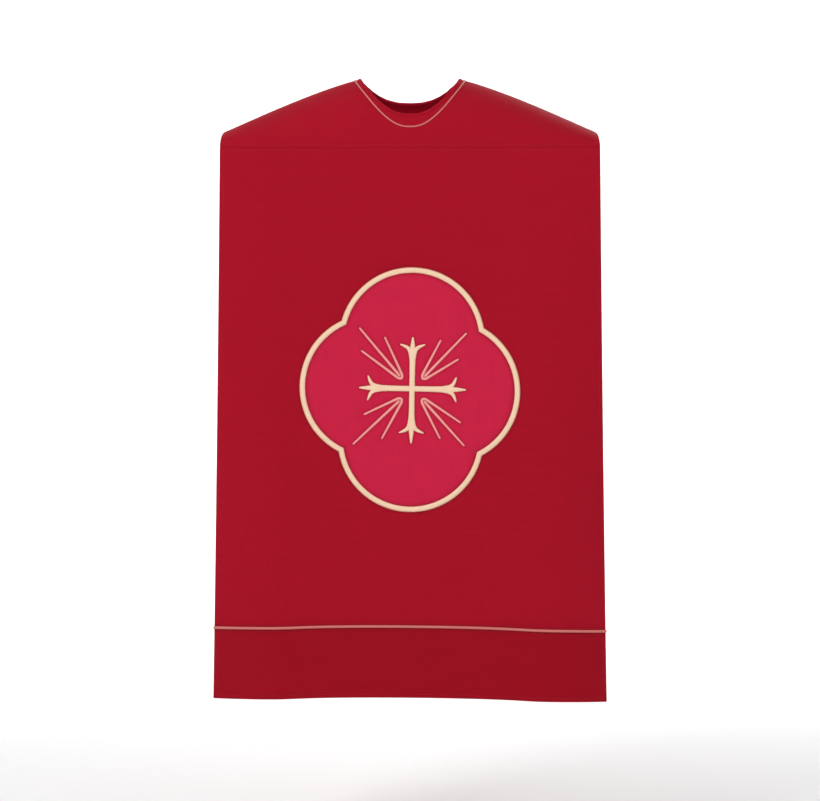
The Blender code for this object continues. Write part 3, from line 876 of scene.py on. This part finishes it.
def build_facings(panel, lining):
    body = panel.body
    rows = bending_rows(PANEL_LENGTH, 5 * MM)
    for name, u, ends in side_strips():
        top, bottom = across_panel(panel, u, seam_line), across_panel(panel, u, facing_line)
        facing = panel_cloth(
            f"{body}_facing_cloth_{name}", panel, u, top, bottom, rows, EDGE_ROLL, ends, (0, 0),
            RED_FACING, facing_in=True,
        )
        dress(facing, f"{body}_facing_{name}", panel=panel)
    u = inner_u(inset=EDGE_ROLL + FACING_SET_BACK)
    top = across_panel(panel, u, facing_line) + 0.3 * MM
    bottom = across_panel(panel, u, hem_facing_line)
    facing = panel_cloth(
        f"{body}_hem_facing_cloth", panel, u, top, bottom, np.linspace(0, 1, 12), EDGE_ROLL, (1, 1),
        (0, 1), RED_FACING, facing_in=True,
    )
    dress(facing, f"{body}_hem_facing", body)


def lining_waves(x, down):
    """How far the lining bellies away from the canvas: soft upright folds, deeper lower down."""
    sway = 1.6 * np.sin(down / (310 * MM)) + np.sin(x / (71 * MM))
    fold = 0.5 + 0.5 * np.sin(x / (23 * MM) + sway)
    return 2.2 * MM * fold * (0.35 + 0.65 * down / PANEL_LENGTH)


# ---------------------------------------------------------------- cords and stitches


def twisted_cord(name, path, normals, radius, pitch, ring=False):
    """A cord of two strands twisted together, along a path of points close together."""
    if ring:
        path, normals = np.concatenate([path, path[:1]]), np.concatenate([normals, normals[:1]])
    along = lengths_along(path)
    turns = round(along[-1] / pitch)
    where = np.linspace(0, along[-1], turns * 12, endpoint=not ring)
    centres = at_lengths(path, along, where)
    out = unit(at_lengths(normals, along, where))
    if ring:
        ahead = unit(np.roll(centres, -1, axis=0) - np.roll(centres, 1, axis=0))
    else:
        ahead = unit(np.gradient(centres, axis=0))
    beside = unit(np.cross(ahead, out))
    out = np.cross(beside, ahead)
    angle = np.linspace(0, 2 * math.pi, 16, endpoint=False)
    twist = where / along[-1] * turns * math.pi
    strand = np.abs(np.cos(angle[None, :] - twist[:, None])) ** 0.7
    around = np.cos(angle)[:, None] * beside[:, None, :] + np.sin(angle)[:, None] * out[:, None, :]
    sections = (radius * (0.80 + 0.20 * strand))[..., None] * around
    cord = tube(name, centres, sections, where, GOLD_PIPING, ring)
    # Painted shade in the grooves between the two strands.
    add_shade(cord, (1 - strand.ravel()) ** 1.5 * 0.8)
    return cord


def build_piping(panel):
    end = 1 - 0.8 * MM / TOP_HALF_WIDTH
    u = frange(-end, end, 3 * MM / TOP_HALF_WIDTH)
    points, normals, _, _ = panel.frame_at(u, across_panel(panel, u, piping_down))
    centres = points + normals * HEM_PIPING_STANDOFF
    piping = twisted_cord(
        f"{panel.body}_piping_cord", centres, normals, HEM_PIPING_RADIUS, 5.4 * MM
    )
    dress(piping, f"{panel.body}_hem_piping", panel.body)


def stitches(name, face, a, b):
    """A line of edge stitches: each is a short thread that dips into the cloth at its ends."""
    points, normals, _, _ = face.frame_at(a, b)
    along = lengths_along(points)
    starts = np.arange(STITCH_GAP, along[-1] - STITCH_LENGTH, STITCH_LENGTH + STITCH_GAP)
    share = np.linspace(0, 1, 6)
    where = (starts[:, None] + share * STITCH_LENGTH).ravel()
    centres = at_lengths(points, along, where).reshape(-1, 6, 3)
    out = unit(at_lengths(normals, along, where)).reshape(-1, 6, 3)
    beside = np.cross(unit(centres[:, -1:] - centres[:, :1]), out)
    swell = np.sin(share * math.pi) ** 0.5
    centres = centres + out * ((swell - 0.6) * STITCH_RADIUS)[:, None]
    thick = (STITCH_RADIUS * (0.35 + 0.65 * swell))[:, None, None]
    angle = np.linspace(0, 2 * math.pi, 6, endpoint=False)[:, None]
    around = np.cos(angle) * beside[:, :, None, :] + np.sin(angle) * out[:, :, None, :]
    ring = centres[:, :, None, :] + thick * around
    quads, corners = grid_quads(6, 6, False, True, DOWN_FIRST)
    row, column = np.meshgrid(np.arange(6), np.arange(7), indexing="ij")
    flat = corner_values(np.stack([row * 0.5 * MM, column * 0.25 * MM], axis=-1), corners)
    base = (np.arange(len(starts)) * 36)[:, None, None]
    faces = (base + quads).reshape(-1, 4).tolist()
    for end in (np.arange(6), np.arange(35, 29, -1)):
        faces += (base[:, 0] + end).tolist()
    loops = np.concatenate([np.tile(flat, (len(starts), 1)), np.zeros((len(starts) * 12, 2))])
    line = make_object(name, ring.reshape(-1, 3), faces, loops, RED_THREAD)
    return line


def build_stitching(panel):
    """Edge stitching down both sides and along the hem, and on both sides of the piping."""
    inset = EDGE_STITCHING / TOP_HALF_WIDTH
    for name, sign in (("left", -1), ("right", 1)):
        down = frange(3 * MM, PANEL_LENGTH - EDGE_STITCHING, 3 * MM)
        u = sign * (1 - EDGE_STITCHING / panel.half_width(down))
        down = down + droop(sign * TOP_HALF_WIDTH) * down / PANEL_LENGTH
        bend(stitches(f"{panel.body}_side_stitching_{name}", panel, u, down))
    u = frange(-1 + inset, 1 - inset, 3 * MM / TOP_HALF_WIDTH)
    piping = across_panel(panel, u, piping_down)
    for name, down in (
        ("hem_stitching", across_panel(panel, u, hem_line) - EDGE_STITCHING + EDGE_ROLL),
        ("piping_stitching_above", piping - PIPING_STITCHING),
        ("piping_stitching_below", piping + PIPING_STITCHING),
    ):
        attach(stitches(f"{panel.body}_{name}", panel, u, down), panel.body)
    down = np.full(len(u), SEAM_STITCHING)
    bend(stitches(f"{panel.body}_seam_stitching", panel, u, down))


# ---------------------------------------------------------------- the yoke


def neck_plan(angle):
    """Points on the neck opening's edge in plan, and the directions straight out from it."""
    half_depth = (NECK_BACK_Y - NECK_FRONT_Y) / 2
    cosine, sine = np.cos(angle), np.sin(angle)
    power = 2 / NECK_SQUARENESS
    x = NECK_HALF_WIDTH * np.sign(cosine) * np.abs(cosine) ** power
    y = (NECK_FRONT_Y + NECK_BACK_Y) / 2 + half_depth * np.sign(sine) * np.abs(sine) ** power
    out_x = np.sign(cosine) * np.abs(cosine) ** (2 - power) / NECK_HALF_WIDTH
    out_y = np.sign(sine) * np.abs(sine) ** (2 - power) / half_depth
    return x, y, unit(np.stack([out_x, out_y], axis=-1))


def yoke_coordinates(x, y):
    return x / TOP_HALF_WIDTH, np.arccos(np.clip(-y / HALF_DEPTH, -1, 1))


def seam_turn(u, distance):
    """How far round the yoke a point lies at a distance from the front seam."""
    return distance / (ridge_z(u * TOP_HALF_WIDTH) - SEAM_Z)


def yoke_ring(side, seam_gap):
    """The yoke's outline in its own coordinates, and the matching points on the neck's edge."""
    across = round(2 * side * TOP_HALF_WIDTH / YOKE_SPACING)
    around = round(math.pi * HALF_DEPTH / YOKE_SPACING)
    right = [(side, math.pi * k / around) for k in range(around)]
    back = [(side - 2 * side * k / across, math.pi) for k in range(across)]
    left = [(-side, math.pi - math.pi * k / around) for k in range(around)]
    front = [(-side + 2 * side * k / across, 0.0) for k in range(across)]
    outline = np.array(right + back + left + front)
    shrunk = 1 - seam_turn(outline[:, 0], seam_gap) / (math.pi / 2)
    outline[:, 1] = math.pi / 2 + (outline[:, 1] - math.pi / 2) * shrunk
    angle = np.arctan2((outline[:, 1] - math.pi / 2) / (math.pi / 2), outline[:, 0])
    x, y, _ = neck_plan(angle)
    neck = np.stack(yoke_coordinates(x, y), axis=-1)
    kinds = np.array([1] * around + [2] * across + [3] * around + [4] * across)
    return outline, neck, kinds


def yoke_sheet(name, yoke, side, depth, roll, seam_roll, material, thickness):
    """Cloth over the yoke, from the neck's edge to the armholes and seams. Its edges turn in where
    there is a roll."""
    outline, neck, kinds = yoke_ring(side, TURNED_SEAM_GAP if seam_roll else INNER_SEAM_GAP)
    rings = graded(0, 1, 0.028, 0.010, 0.05)[:, None, None]
    spots = neck + (outline - neck) * rings
    points, normals, along_a, along_b = yoke.frame_at(spots[..., 0], spots[..., 1])
    points = points - normals * depth
    flat = np.stack([spots[..., 0] * TOP_HALF_WIDTH, spots[..., 1] * HALF_DEPTH], axis=-1)
    if roll:
        right, back, left, front = ((kinds == kind)[:, None] * 1.0 for kind in (1, 2, 3, 4))
        away = along_a[-1] * (right - left) + along_b[-1] * (back - front)
        radius = np.where((right + left) > 0, roll, seam_roll)
        toward = unit(points[0] - points[1])
        rows = [points]
        for turn in QUARTER_TURN:
            drop, reach = 1 - math.cos(turn), math.sin(turn)
            rows.append((points[-1] + (away * reach - normals[-1] * drop) * radius)[None])
            rows.insert(0, (points[0] + (toward * reach - normals[0] * drop) * roll)[None])
        points = np.concatenate(rows)
        flat = np.concatenate([flat[:1].repeat(4, axis=0), flat, flat[-1:].repeat(4, axis=0)])
    flat = np.concatenate([flat, flat[:, :1]], axis=1)
    return thicken(sheet_mesh(name, points, flat, material, ring=True, flip=True), thickness)


def build_yoke(yoke):
    for name, node, slot, side, depth, roll, seam_roll, material, thickness, share, area in (
        ("yoke_cloth", "yoke_shell", "red_cloth", 1 - EDGE_ROLL / TOP_HALF_WIDTH, 0.0, EDGE_ROLL,
         SEAM_ROLL, RED_CLOTH, CLOTH_THICKNESS, 1, 0.187),
        ("yoke_canvas", "yoke_interlining", "canvas", 1 - CANVAS_SET_BACK / TOP_HALF_WIDTH,
         CANVAS_DEPTH, 0, 0, CANVAS, CANVAS_THICKNESS, 1, 0.181),
        ("yoke_satin_lining", "yoke_lining", "red_lining", LINING_SHARE, LINING_DEPTH, 0, 0,
         RED_LINING, -LINING_THICKNESS, FACING_SHARE, 0.161),
    ):
        piece = yoke_sheet(name, yoke, side, depth, roll, seam_roll, material, thickness)
        dress(piece, node, "shoulders")
    gap = INNER_SEAM_GAP / HALF_DEPTH
    turn = frange(gap, math.pi - gap, 0.03)
    for name, u, ends in side_strips():
        rows = np.repeat(turn[:, None], len(u), axis=1)
        points, flat = rolled(yoke, u, rows, EDGE_ROLL, 0, ends, (0, 0), facing_in=True)
        facing = sheet_mesh(f"armhole_facing_cloth_{name}", points, flat, RED_FACING, flip=True)
        dress(thicken(facing, CLOTH_THICKNESS), f"armhole_facing_{name}", "shoulders")


def build_yoke_stitching(yoke):
    """Edge stitching along both armholes and both shoulder seams."""
    end = 1 - EDGE_STITCHING / TOP_HALF_WIDTH
    across = frange(-end, end, 3 * MM / TOP_HALF_WIDTH)
    around = frange(0.02, math.pi - 0.02, 0.02)
    near = seam_turn(across, SEAM_STITCHING)
    for name, u, turn in (
        ("front_seam", across, near),
        ("back_seam", across, math.pi - near),
        ("left_armhole", -end + 0 * around, around),
        ("right_armhole", end + 0 * around, around),
    ):
        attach(stitches(f"yoke_{name}_stitching", yoke, u, turn), "shoulders")


def build_neck_edge(yoke):
    """The covered cord that binds the neck opening, and the piping laid round it."""
    angle = np.linspace(0, 2 * math.pi, 360, endpoint=False)
    x, y, plan_out = neck_plan(angle)
    edge, normals, _, _ = yoke.frame_at(*yoke_coordinates(x, y))
    ahead = unit(np.roll(edge, -1, axis=0) - np.roll(edge, 1, axis=0))
    away = unit(np.cross(ahead, normals))
    out = np.concatenate([plan_out, np.zeros((len(x), 1))], axis=1)
    away = away * np.sign((away * out).sum(axis=1, keepdims=True))
    section_angle = np.linspace(0, 2 * math.pi, 20, endpoint=False)
    length = lengths_along(edge)
    pucker = 1 + 0.035 * np.sin(length / (3.1 * MM) + 1.2 * np.sin(length / (17 * MM)))
    wide = BINDING_RADIUS * pucker[:, None, None] * np.cos(section_angle)[None, :, None]
    tall = (EDGE_ROLL + 1.2 * MM) * pucker[:, None, None] * np.sin(section_angle)[None, :, None]
    sections = wide * away[:, None, :] + tall * normals[:, None, :]
    middle = edge - normals * EDGE_ROLL - away * 1.0 * MM
    binding = tube("neck_bias_binding", middle, sections, length, RED_FACING, ring=True)
    dress(binding, "neck_binding", "shoulders")

    out_x, out_y = x + plan_out[:, 0] * NECK_PIPING_OUTSET, y + plan_out[:, 1] * NECK_PIPING_OUTSET
    out_y = np.maximum(out_y, -HALF_DEPTH * 0.985)
    points, normals, _, _ = yoke.frame_at(*yoke_coordinates(out_x, out_y))
    centres = points + normals * 0.6 * MM
    piping = twisted_cord(
        "neck_piping_cord", centres, normals, NECK_PIPING_RADIUS, 3.6 * MM, ring=True
    )
    dress(piping, "neck_piping", "shoulders")


# ---------------------------------------------------------------- the medallion


def askew(x, z):
    """Where a point of the upright cross lies once it is sewn on."""
    return (
        x * math.cos(CROSSBAR_TILT) + z * math.sin(UPRIGHT_LEAN),
        z * math.cos(UPRIGHT_LEAN) - x * math.sin(CROSSBAR_TILT),
    )


def cusp(first, second, radius):
    """Where two neighbouring lobes meet, on the outside."""
    apart = second - first
    length = np.hypot(*apart)
    outward = np.array((apart[1], -apart[0])) / length
    return (first + second) / 2 + outward * math.sqrt(radius**2 - length**2 / 4)


def quatrefoil(radius, steps):
    """Points round the four lobes, as many to each, anticlockwise from the right one's foot."""
    outline = []
    for number, centre in enumerate(LOBE_CENTRES):
        start = cusp(LOBE_CENTRES[number - 1], centre, radius) - centre
        end = cusp(centre, LOBE_CENTRES[(number + 1) % 4], radius) - centre
        first = math.atan2(start[1], start[0])
        sweep = (math.atan2(end[1], end[0]) - first) % (2 * math.pi)
        angle = first + sweep * np.arange(steps) / steps
        outline.append(centre + radius * np.stack([np.cos(angle), np.sin(angle)], axis=-1))
    return np.concatenate(outline)


def on_front(front, x, z, lift):
    """A point of the medallion: x across and z up from its middle, lift above the cloth."""
    return front.lay_flat(x, MEDALLION_DOWN - z, -np.asarray(lift))


GROUND_LIFT = 1.6 * MM
STITCH_BASE = GROUND_LIFT - 0.2 * MM  # where the columns of the cross and rays start
DRAWN_DEPTH = 0.15 * MM  # how far their stitches draw the satin down beside them
DRAWN_REACH = 1.5 * MM


def ground_lift(share):
    """The satin stands highest in the middle, over its felt, and is drawn down at the border."""
    return GROUND_LIFT * (0.45 + 0.55 * smoothstep((1 - share) * 9))


def drawn_in_and_shade(x, z):
    """How strongly the stitches of the cross and rays draw the satin in at its points, 0 to 1; it
    also sets the satin's painted shade beside them.
    """
    columns = cross_columns() + [column for corner in RAYS for column in ray_columns(corner)]
    edges = np.concatenate([edge[::2] for column in columns for edge in column[:2]])
    tree = KDTree(len(edges))
    for index, (across, up) in enumerate(edges):
        tree.insert((across, up, 0), index)
    tree.balance()
    away = [tree.find((across, up, 0))[2] for across, up in zip(x.ravel(), z.ravel())]
    return np.exp(-np.reshape(away, x.shape) / DRAWN_REACH)


def build_ground(front):
    outline = quatrefoil(LOBE_RADIUS, 120)
    share = np.concatenate([np.linspace(0.02, 0.62, 84)[:-1], np.linspace(0.62, 1, 24)])[:, None]
    x, z = outline[:, 0] * share, outline[:, 1] * share
    drawn = drawn_in_and_shade(x, z)
    for name, node, slot, material, thickness, lift, reach in (
        ("satin_ground", "medallion_ground", "crimson_satin", CRIMSON_SATIN, 0.4 * MM, 1.0, 1.0),
        ("felt_backing", "medallion_backing", "felt", FELT, 0.7 * MM, 0.55, 0.95),
    ):
        height = (ground_lift(share) - DRAWN_DEPTH * drawn) * lift
        points = on_front(front, x * reach, z * reach, height)
        flat = np.stack([x, z], axis=-1)
        flat = np.concatenate([flat, flat[:, :1]], axis=1)
        piece = sheet_mesh(name, points, flat, material, ring=True)
        # Painted shade beside the cross and rays, as strong as the drawing in.
        add_shade(piece, drawn)
        close_middle(piece, len(outline))
        dress(thicken(piece, thickness), node, "front")


def close_middle(piece, count):
    mesh = bmesh.new()
    mesh.from_mesh(piece.data)
    rim = [e for e in mesh.edges if e.is_boundary and e.verts[0].index < count]
    bmesh.ops.contextual_create(mesh, geom=rim)
    mesh.to_mesh(piece.data)
    mesh.free()
    piece.data.shade_smooth()


def column_mesh(front, left, right, height, base, seed, thread_pitch, along):
    """Points of one column of satin stitch between two edges, domed over its padding. Each thread
    is a ridge, and reaches a little further or less far than its neighbours."""
    draw = np.random.default_rng(seed)
    count = len(left)
    thread_number = np.floor(along / thread_pitch).astype(int)
    uneven = draw.uniform(-1, 1, thread_number.max() + 2)[thread_number]
    ridge = np.sin((along / thread_pitch % 1) * math.pi) ** 0.7
    across = np.linspace(-1, 1, 13)
    middle, half = (left + right) / 2, (right - left) / 2
    width = np.linalg.norm(half, axis=1)
    stretch = 1 + uneven * 0.12 * MM / np.maximum(width, 0.4 * MM) + (ridge - 0.6) * 0.05
    spots = middle[:, None, :] + half[:, None, :] * (across[None, :, None] * stretch[:, None, None])
    dome = (1 - across**2) ** 0.6
    share = np.minimum(1, 0.35 + width / (4.0 * MM))
    lift = base + (height * share)[:, None] * dome[None, :] * (1 + 0.06 * uneven[:, None])
    lift = lift + (ridge[:, None] - 0.5) * 0.20 * MM * dome[None, :]
    top = on_front(front, spots[..., 0], spots[..., 1], lift)
    under = on_front(front, middle[:, 0], middle[:, 1], np.full(count, base - 0.1 * MM))
    points = np.concatenate([top, under[:, None, :]], axis=1)
    flat_across = np.concatenate([across, [1.5, 2.0]])[None, :] * width[:, None]
    flat = np.stack(np.broadcast_arrays(along[:, None], flat_across), axis=-1)
    # Painted shade: darker at the column's rims and in the valleys between its threads.
    valley = 1 - ridge
    rim = np.abs(across[None, :]) ** 5 * np.ones((count, 1))
    shade = np.clip(rim * 0.85 + 0.30 * valley[:, None], 0, 1)
    shade = np.concatenate([shade, np.ones((count, 1))], axis=1)
    return points, flat, shade


def satin_columns(name, front, columns, material):
    """One piece made of several columns of satin stitch. Each column is (left edge, right edge,
    height, base, thread pitch, ring)."""
    all_points, faces, loops, shades = [], [], [], []
    offset = 0
    for seed, (left, right, height, base, pitch, ring) in enumerate(columns):
        along = lengths_along((left + right) / 2)
        points, flat, shade = column_mesh(front, left, right, height, base, seed, pitch, along)
        rows, count = points.shape[:2]
        quads, corners = grid_quads(rows, count, ring, True, DOWN_FIRST)
        faces += (quads + offset).tolist()
        loops.append(corner_values(np.concatenate([flat, flat[-1:]]), corners))
        if not ring:
            ends = np.arange(count), np.arange(rows * count - 1, (rows - 1) * count - 1, -1)
            faces += [(end + offset).tolist() for end in ends]
            loops.append(np.zeros((2 * count, 2)))
        all_points.append(points.reshape(-1, 3))
        shades.append(shade.ravel())
        offset += rows * count
    piece = make_object(name, np.concatenate(all_points), faces, np.concatenate(loops), material)
    add_shade(piece, np.concatenate(shades))
    return piece


def build_border(front):
    steps = round(2 * math.pi * LOBE_RADIUS * 0.62 / (0.28 * MM))
    inner = quatrefoil(LOBE_RADIUS - BORDER_WIDTH / 2, steps)
    outer = quatrefoil(LOBE_RADIUS + BORDER_WIDTH / 2, steps)
    border = satin_columns(
        "corded_border", front, [(outer, inner, 2.7 * MM, 0.1 * MM, 1.05 * MM, True)], GOLD_THREAD
    )
    dress(border, "medallion_border", "front")


def column_edges(path, half_width, step=0.22 * MM):
    """Both edges of a column along a smooth path of points, with its half width at each share."""
    path = np.asarray(path, float)
    line = path
    for _ in range(5):
        ahead, behind = line[1:], line[:-1]
        corners = np.stack([behind * 0.75 + ahead * 0.25, behind * 0.25 + ahead * 0.75], 1)
        line = np.concatenate([path[:1], corners.reshape(-1, 2), path[-1:]])
    along = lengths_along(line)
    where = frange(0, along[-1], step)
    line = at_lengths(line, along, where)
    ahead = unit(np.gradient(line, axis=0))
    beside = np.stack([-ahead[:, 1], ahead[:, 0]], axis=-1)
    width = half_width(where / along[-1], where, along[-1])[:, None]
    return line + beside * width, line - beside * width


def tapering(widths, round_start=True):
    """A half width that runs smoothly through the given ones. Its end is rounded, and its start
    may be too."""
    knots = np.linspace(0, 1, len(widths))

    def half_width(share, where, total):
        width = np.interp(share, knots, widths)
        for rounded, away, radius in (
            (round_start, where, widths[0]), (True, total - where, widths[-1])
        ):
            if rounded:
                near = np.clip(away / max(radius, 0.6 * MM), 0, 1)
                width = width * np.sqrt(1 - (1 - near) ** 2 + 1e-4)
        return width

    return half_width


def place_design(edges):
    """Turns the upright design askew and sets it at the cross's own middle."""
    placed = []
    for edge in edges:
        x, z = askew(edge[:, 0], edge[:, 1])
        placed.append(np.stack([x + CROSS_SHIFT[0], z + CROSS_SHIFT[1]], axis=-1))
    return placed


def cross_columns():
    """Four arms, each a stem that spreads into two leaves with a spike between them."""
    height, pitch = 1.8 * MM, 0.85 * MM
    stem = ((0, 0), (0, 64)), (5.0, 4.9, 4.9, 5.1, 5.8, 6.4), 0.95
    leaf_path = ((2.2, 47), (3.4, 58), (6.2, 64.5), (11.5, 67.6), (20.0, 71.0))
    leaf = leaf_path, (3.0, 3.4, 3.5, 2.7, 1.1), 0.95
    mirrored = tuple((-x, z) for x, z in leaf_path), *leaf[1:]
    columns = []
    for quarter, tip in enumerate((82.8, 84.6, 87.8, 86.6)):
        turn = math.radians(90 * quarter)
        spike = ((0, 55), (0, tip)), (4.6, 4.8, 4.7, 4.0, 3.2, 2.3, 1.4), 1.0
        matrix = np.array([[math.cos(turn), -math.sin(turn)], [math.sin(turn), math.cos(turn)]])
        for path, widths, share in (stem, leaf, mirrored, spike):
            half_width = tapering(np.array(widths) * MM, path[0][1] > 0)
            edges = column_edges(np.array(path) * MM, half_width)
            left, right = place_design([edge @ matrix.T for edge in edges])
            columns.append((left, right, height * share, STITCH_BASE, pitch, False))
    return columns


def build_cross(front):
    cross = satin_columns("cross_embroidery", front, cross_columns(), GOLD_THREAD)
    dress(cross, "cross", "front")


# Three rays spring from a heel in each corner: each has its slope in degrees above the level, and
# its length
RAY_HEEL = 17.8 * MM
RAY_SPREAD = 3.4 * MM  # between neighbouring rays, at the heel
RAYS = {
    "upper_left": (-1, 1, ((34, 77), (50, 104), (68, 70))),
    "upper_right": (1, 1, ((28, 64), (46, 100), (65, 67))),
    "lower_left": (-1, -1, ((22, 64), (43, 105), (64, 70))),
    "lower_right": (1, -1, ((31, 71), (48, 99), (66, 68))),
}


def ray_columns(corner):
    """The outer rays of a corner are one line that turns round the heel, and the middle one starts
    inside the turn."""
    across, up, rays = RAYS[corner]
    heel = np.array(askew(across * RAY_HEEL, up * RAY_HEEL)) + CROSS_SHIFT
    diagonal = np.array((across, up)) / math.sqrt(2)
    beside = np.array((across, -up)) / math.sqrt(2) * RAY_SPREAD
    lines = []
    for slope, length in rays:
        angle = math.radians(slope)
        direction = np.array((across * math.cos(angle), up * math.sin(angle)))
        lines.append((direction, heel + direction * length * MM))
    (first, first_tip), (middle, middle_tip), (last, last_tip) = lines
    outer = (
        first_tip, heel + beside + first * 6 * MM, heel + beside + first * 1.5 * MM,
        heel - diagonal * 2.2 * MM, heel - beside + last * 1.5 * MM,
        heel - beside + last * 6 * MM, last_tip,
    )
    columns = []
    for path, half_widths in (
        (outer, (1.7, 2.0, 2.2, 2.4, 2.4, 2.2, 2.0, 1.7)),
        ((heel + middle * 2.5 * MM, middle_tip), (2.4, 2.4, 2.2, 2.0, 1.7)),
    ):
        left, right = column_edges(path, tapering(np.array(half_widths) * MM))
        columns.append((left, right, 1.3 * MM, STITCH_BASE, 0.8 * MM, False))
    return columns


def build_rays(front):
    for corner in RAYS:
        piece = satin_columns(f"ray_stitches_{corner}", front, ray_columns(corner), ROSE_THREAD)
        dress(piece, f"rays_{corner}", "front")


# ---------------------------------------------------------------- stage and light


def build_stage():
    """A round pale floor that curves up into a pale wall all round."""
    nodes = Nodes("stage")
    place = nodes.add("ShaderNodeTexCoord").outputs["Object"]
    grain = nodes.add("ShaderNodeTexNoise", {"Vector": place, "Scale": 3.0}).outputs["Fac"]
    colour = nodes.tone(plain(nodes, (0.87, 0.87, 0.87)), grain, 0.995, 1.0)
    material = nodes.finish(colour, nodes.bump(grain, 0.02, MM), roughness=0.9)
    floor_z, flat_radius, bend_radius, wall_top = -1.30, 4.6, 1.6, 4.5
    turn = np.linspace(0, math.pi / 2, 24)
    bend_out = flat_radius + bend_radius * np.sin(turn)
    out = np.concatenate([[0.0], bend_out, [flat_radius + bend_radius]])
    up = np.concatenate([[0], bend_radius * (1 - np.cos(turn)), [wall_top]]) + floor_z
    around = np.linspace(0, 2 * math.pi, 97)[:-1]
    x = out[:, None] * np.cos(around)
    y = out[:, None] * np.sin(around)
    points = np.stack(np.broadcast_arrays(x, y, up[:, None]), axis=-1)
    flat = np.concatenate([points[..., :2], points[:, :1, :2]], axis=1)
    floor = sheet_mesh("floor", points, flat, material, ring=True)


def add_light(name, place, size, power, target):
    data = bpy.data.lights.new(name, "AREA")
    data.shape = "RECTANGLE"
    data.size, data.size_y = size
    data.energy = power
    light = bpy.data.objects.new(name, data)
    light.location = place
    light.rotation_euler = (Vector(target) - Vector(place)).to_track_quat("-Z", "Y").to_euler()
    bpy.context.scene.collection.objects.link(light)


def build_lights():
    middle = (0, 0, -0.5)
    add_light("key", (-2.0, -2.6, 1.9), (1.2, 1.2), 72, middle)
    add_light("fill", (2.6, -2.8, 0.4), (2.4, 2.4), 22, middle)
    add_light("rear", (1.6, 3.0, 1.6), (1.6, 1.6), 35, middle)
    for name, side in (("wall_left", -1), ("wall_right", 1)):
        add_light(name, (side * 2.6, 3.2, 1.6), (1.6, 1.6), 90, (side * 0.8, 6.2, -0.6))
    world = bpy.data.worlds.new("studio")
    bpy.context.scene.world = world
    world.use_nodes = True
    sky = world.node_tree.nodes["Background"].inputs
    sky["Color"].default_value = (1.0, 1.0, 1.0, 1.0)
    sky["Strength"].default_value = 0.53
    bpy.context.scene.view_settings.view_transform = "Standard"


front = Panel("front", FRONT)
back = Panel("back", BACK)
yoke = Yoke()
hang(front, flare=0.008, waves=3, cap=2.6 * MM, stiffness=12, seed=4)
hang(back, flare=0.06, waves=5, cap=12 * MM, stiffness=1.5, seed=9)
build_yoke(yoke)
build_yoke_stitching(yoke)
build_neck_edge(yoke)
build_panel(front)
build_panel(back)
build_ground(front)
build_border(front)
build_cross(front)
build_rays(front)
build_stage()
build_lights()
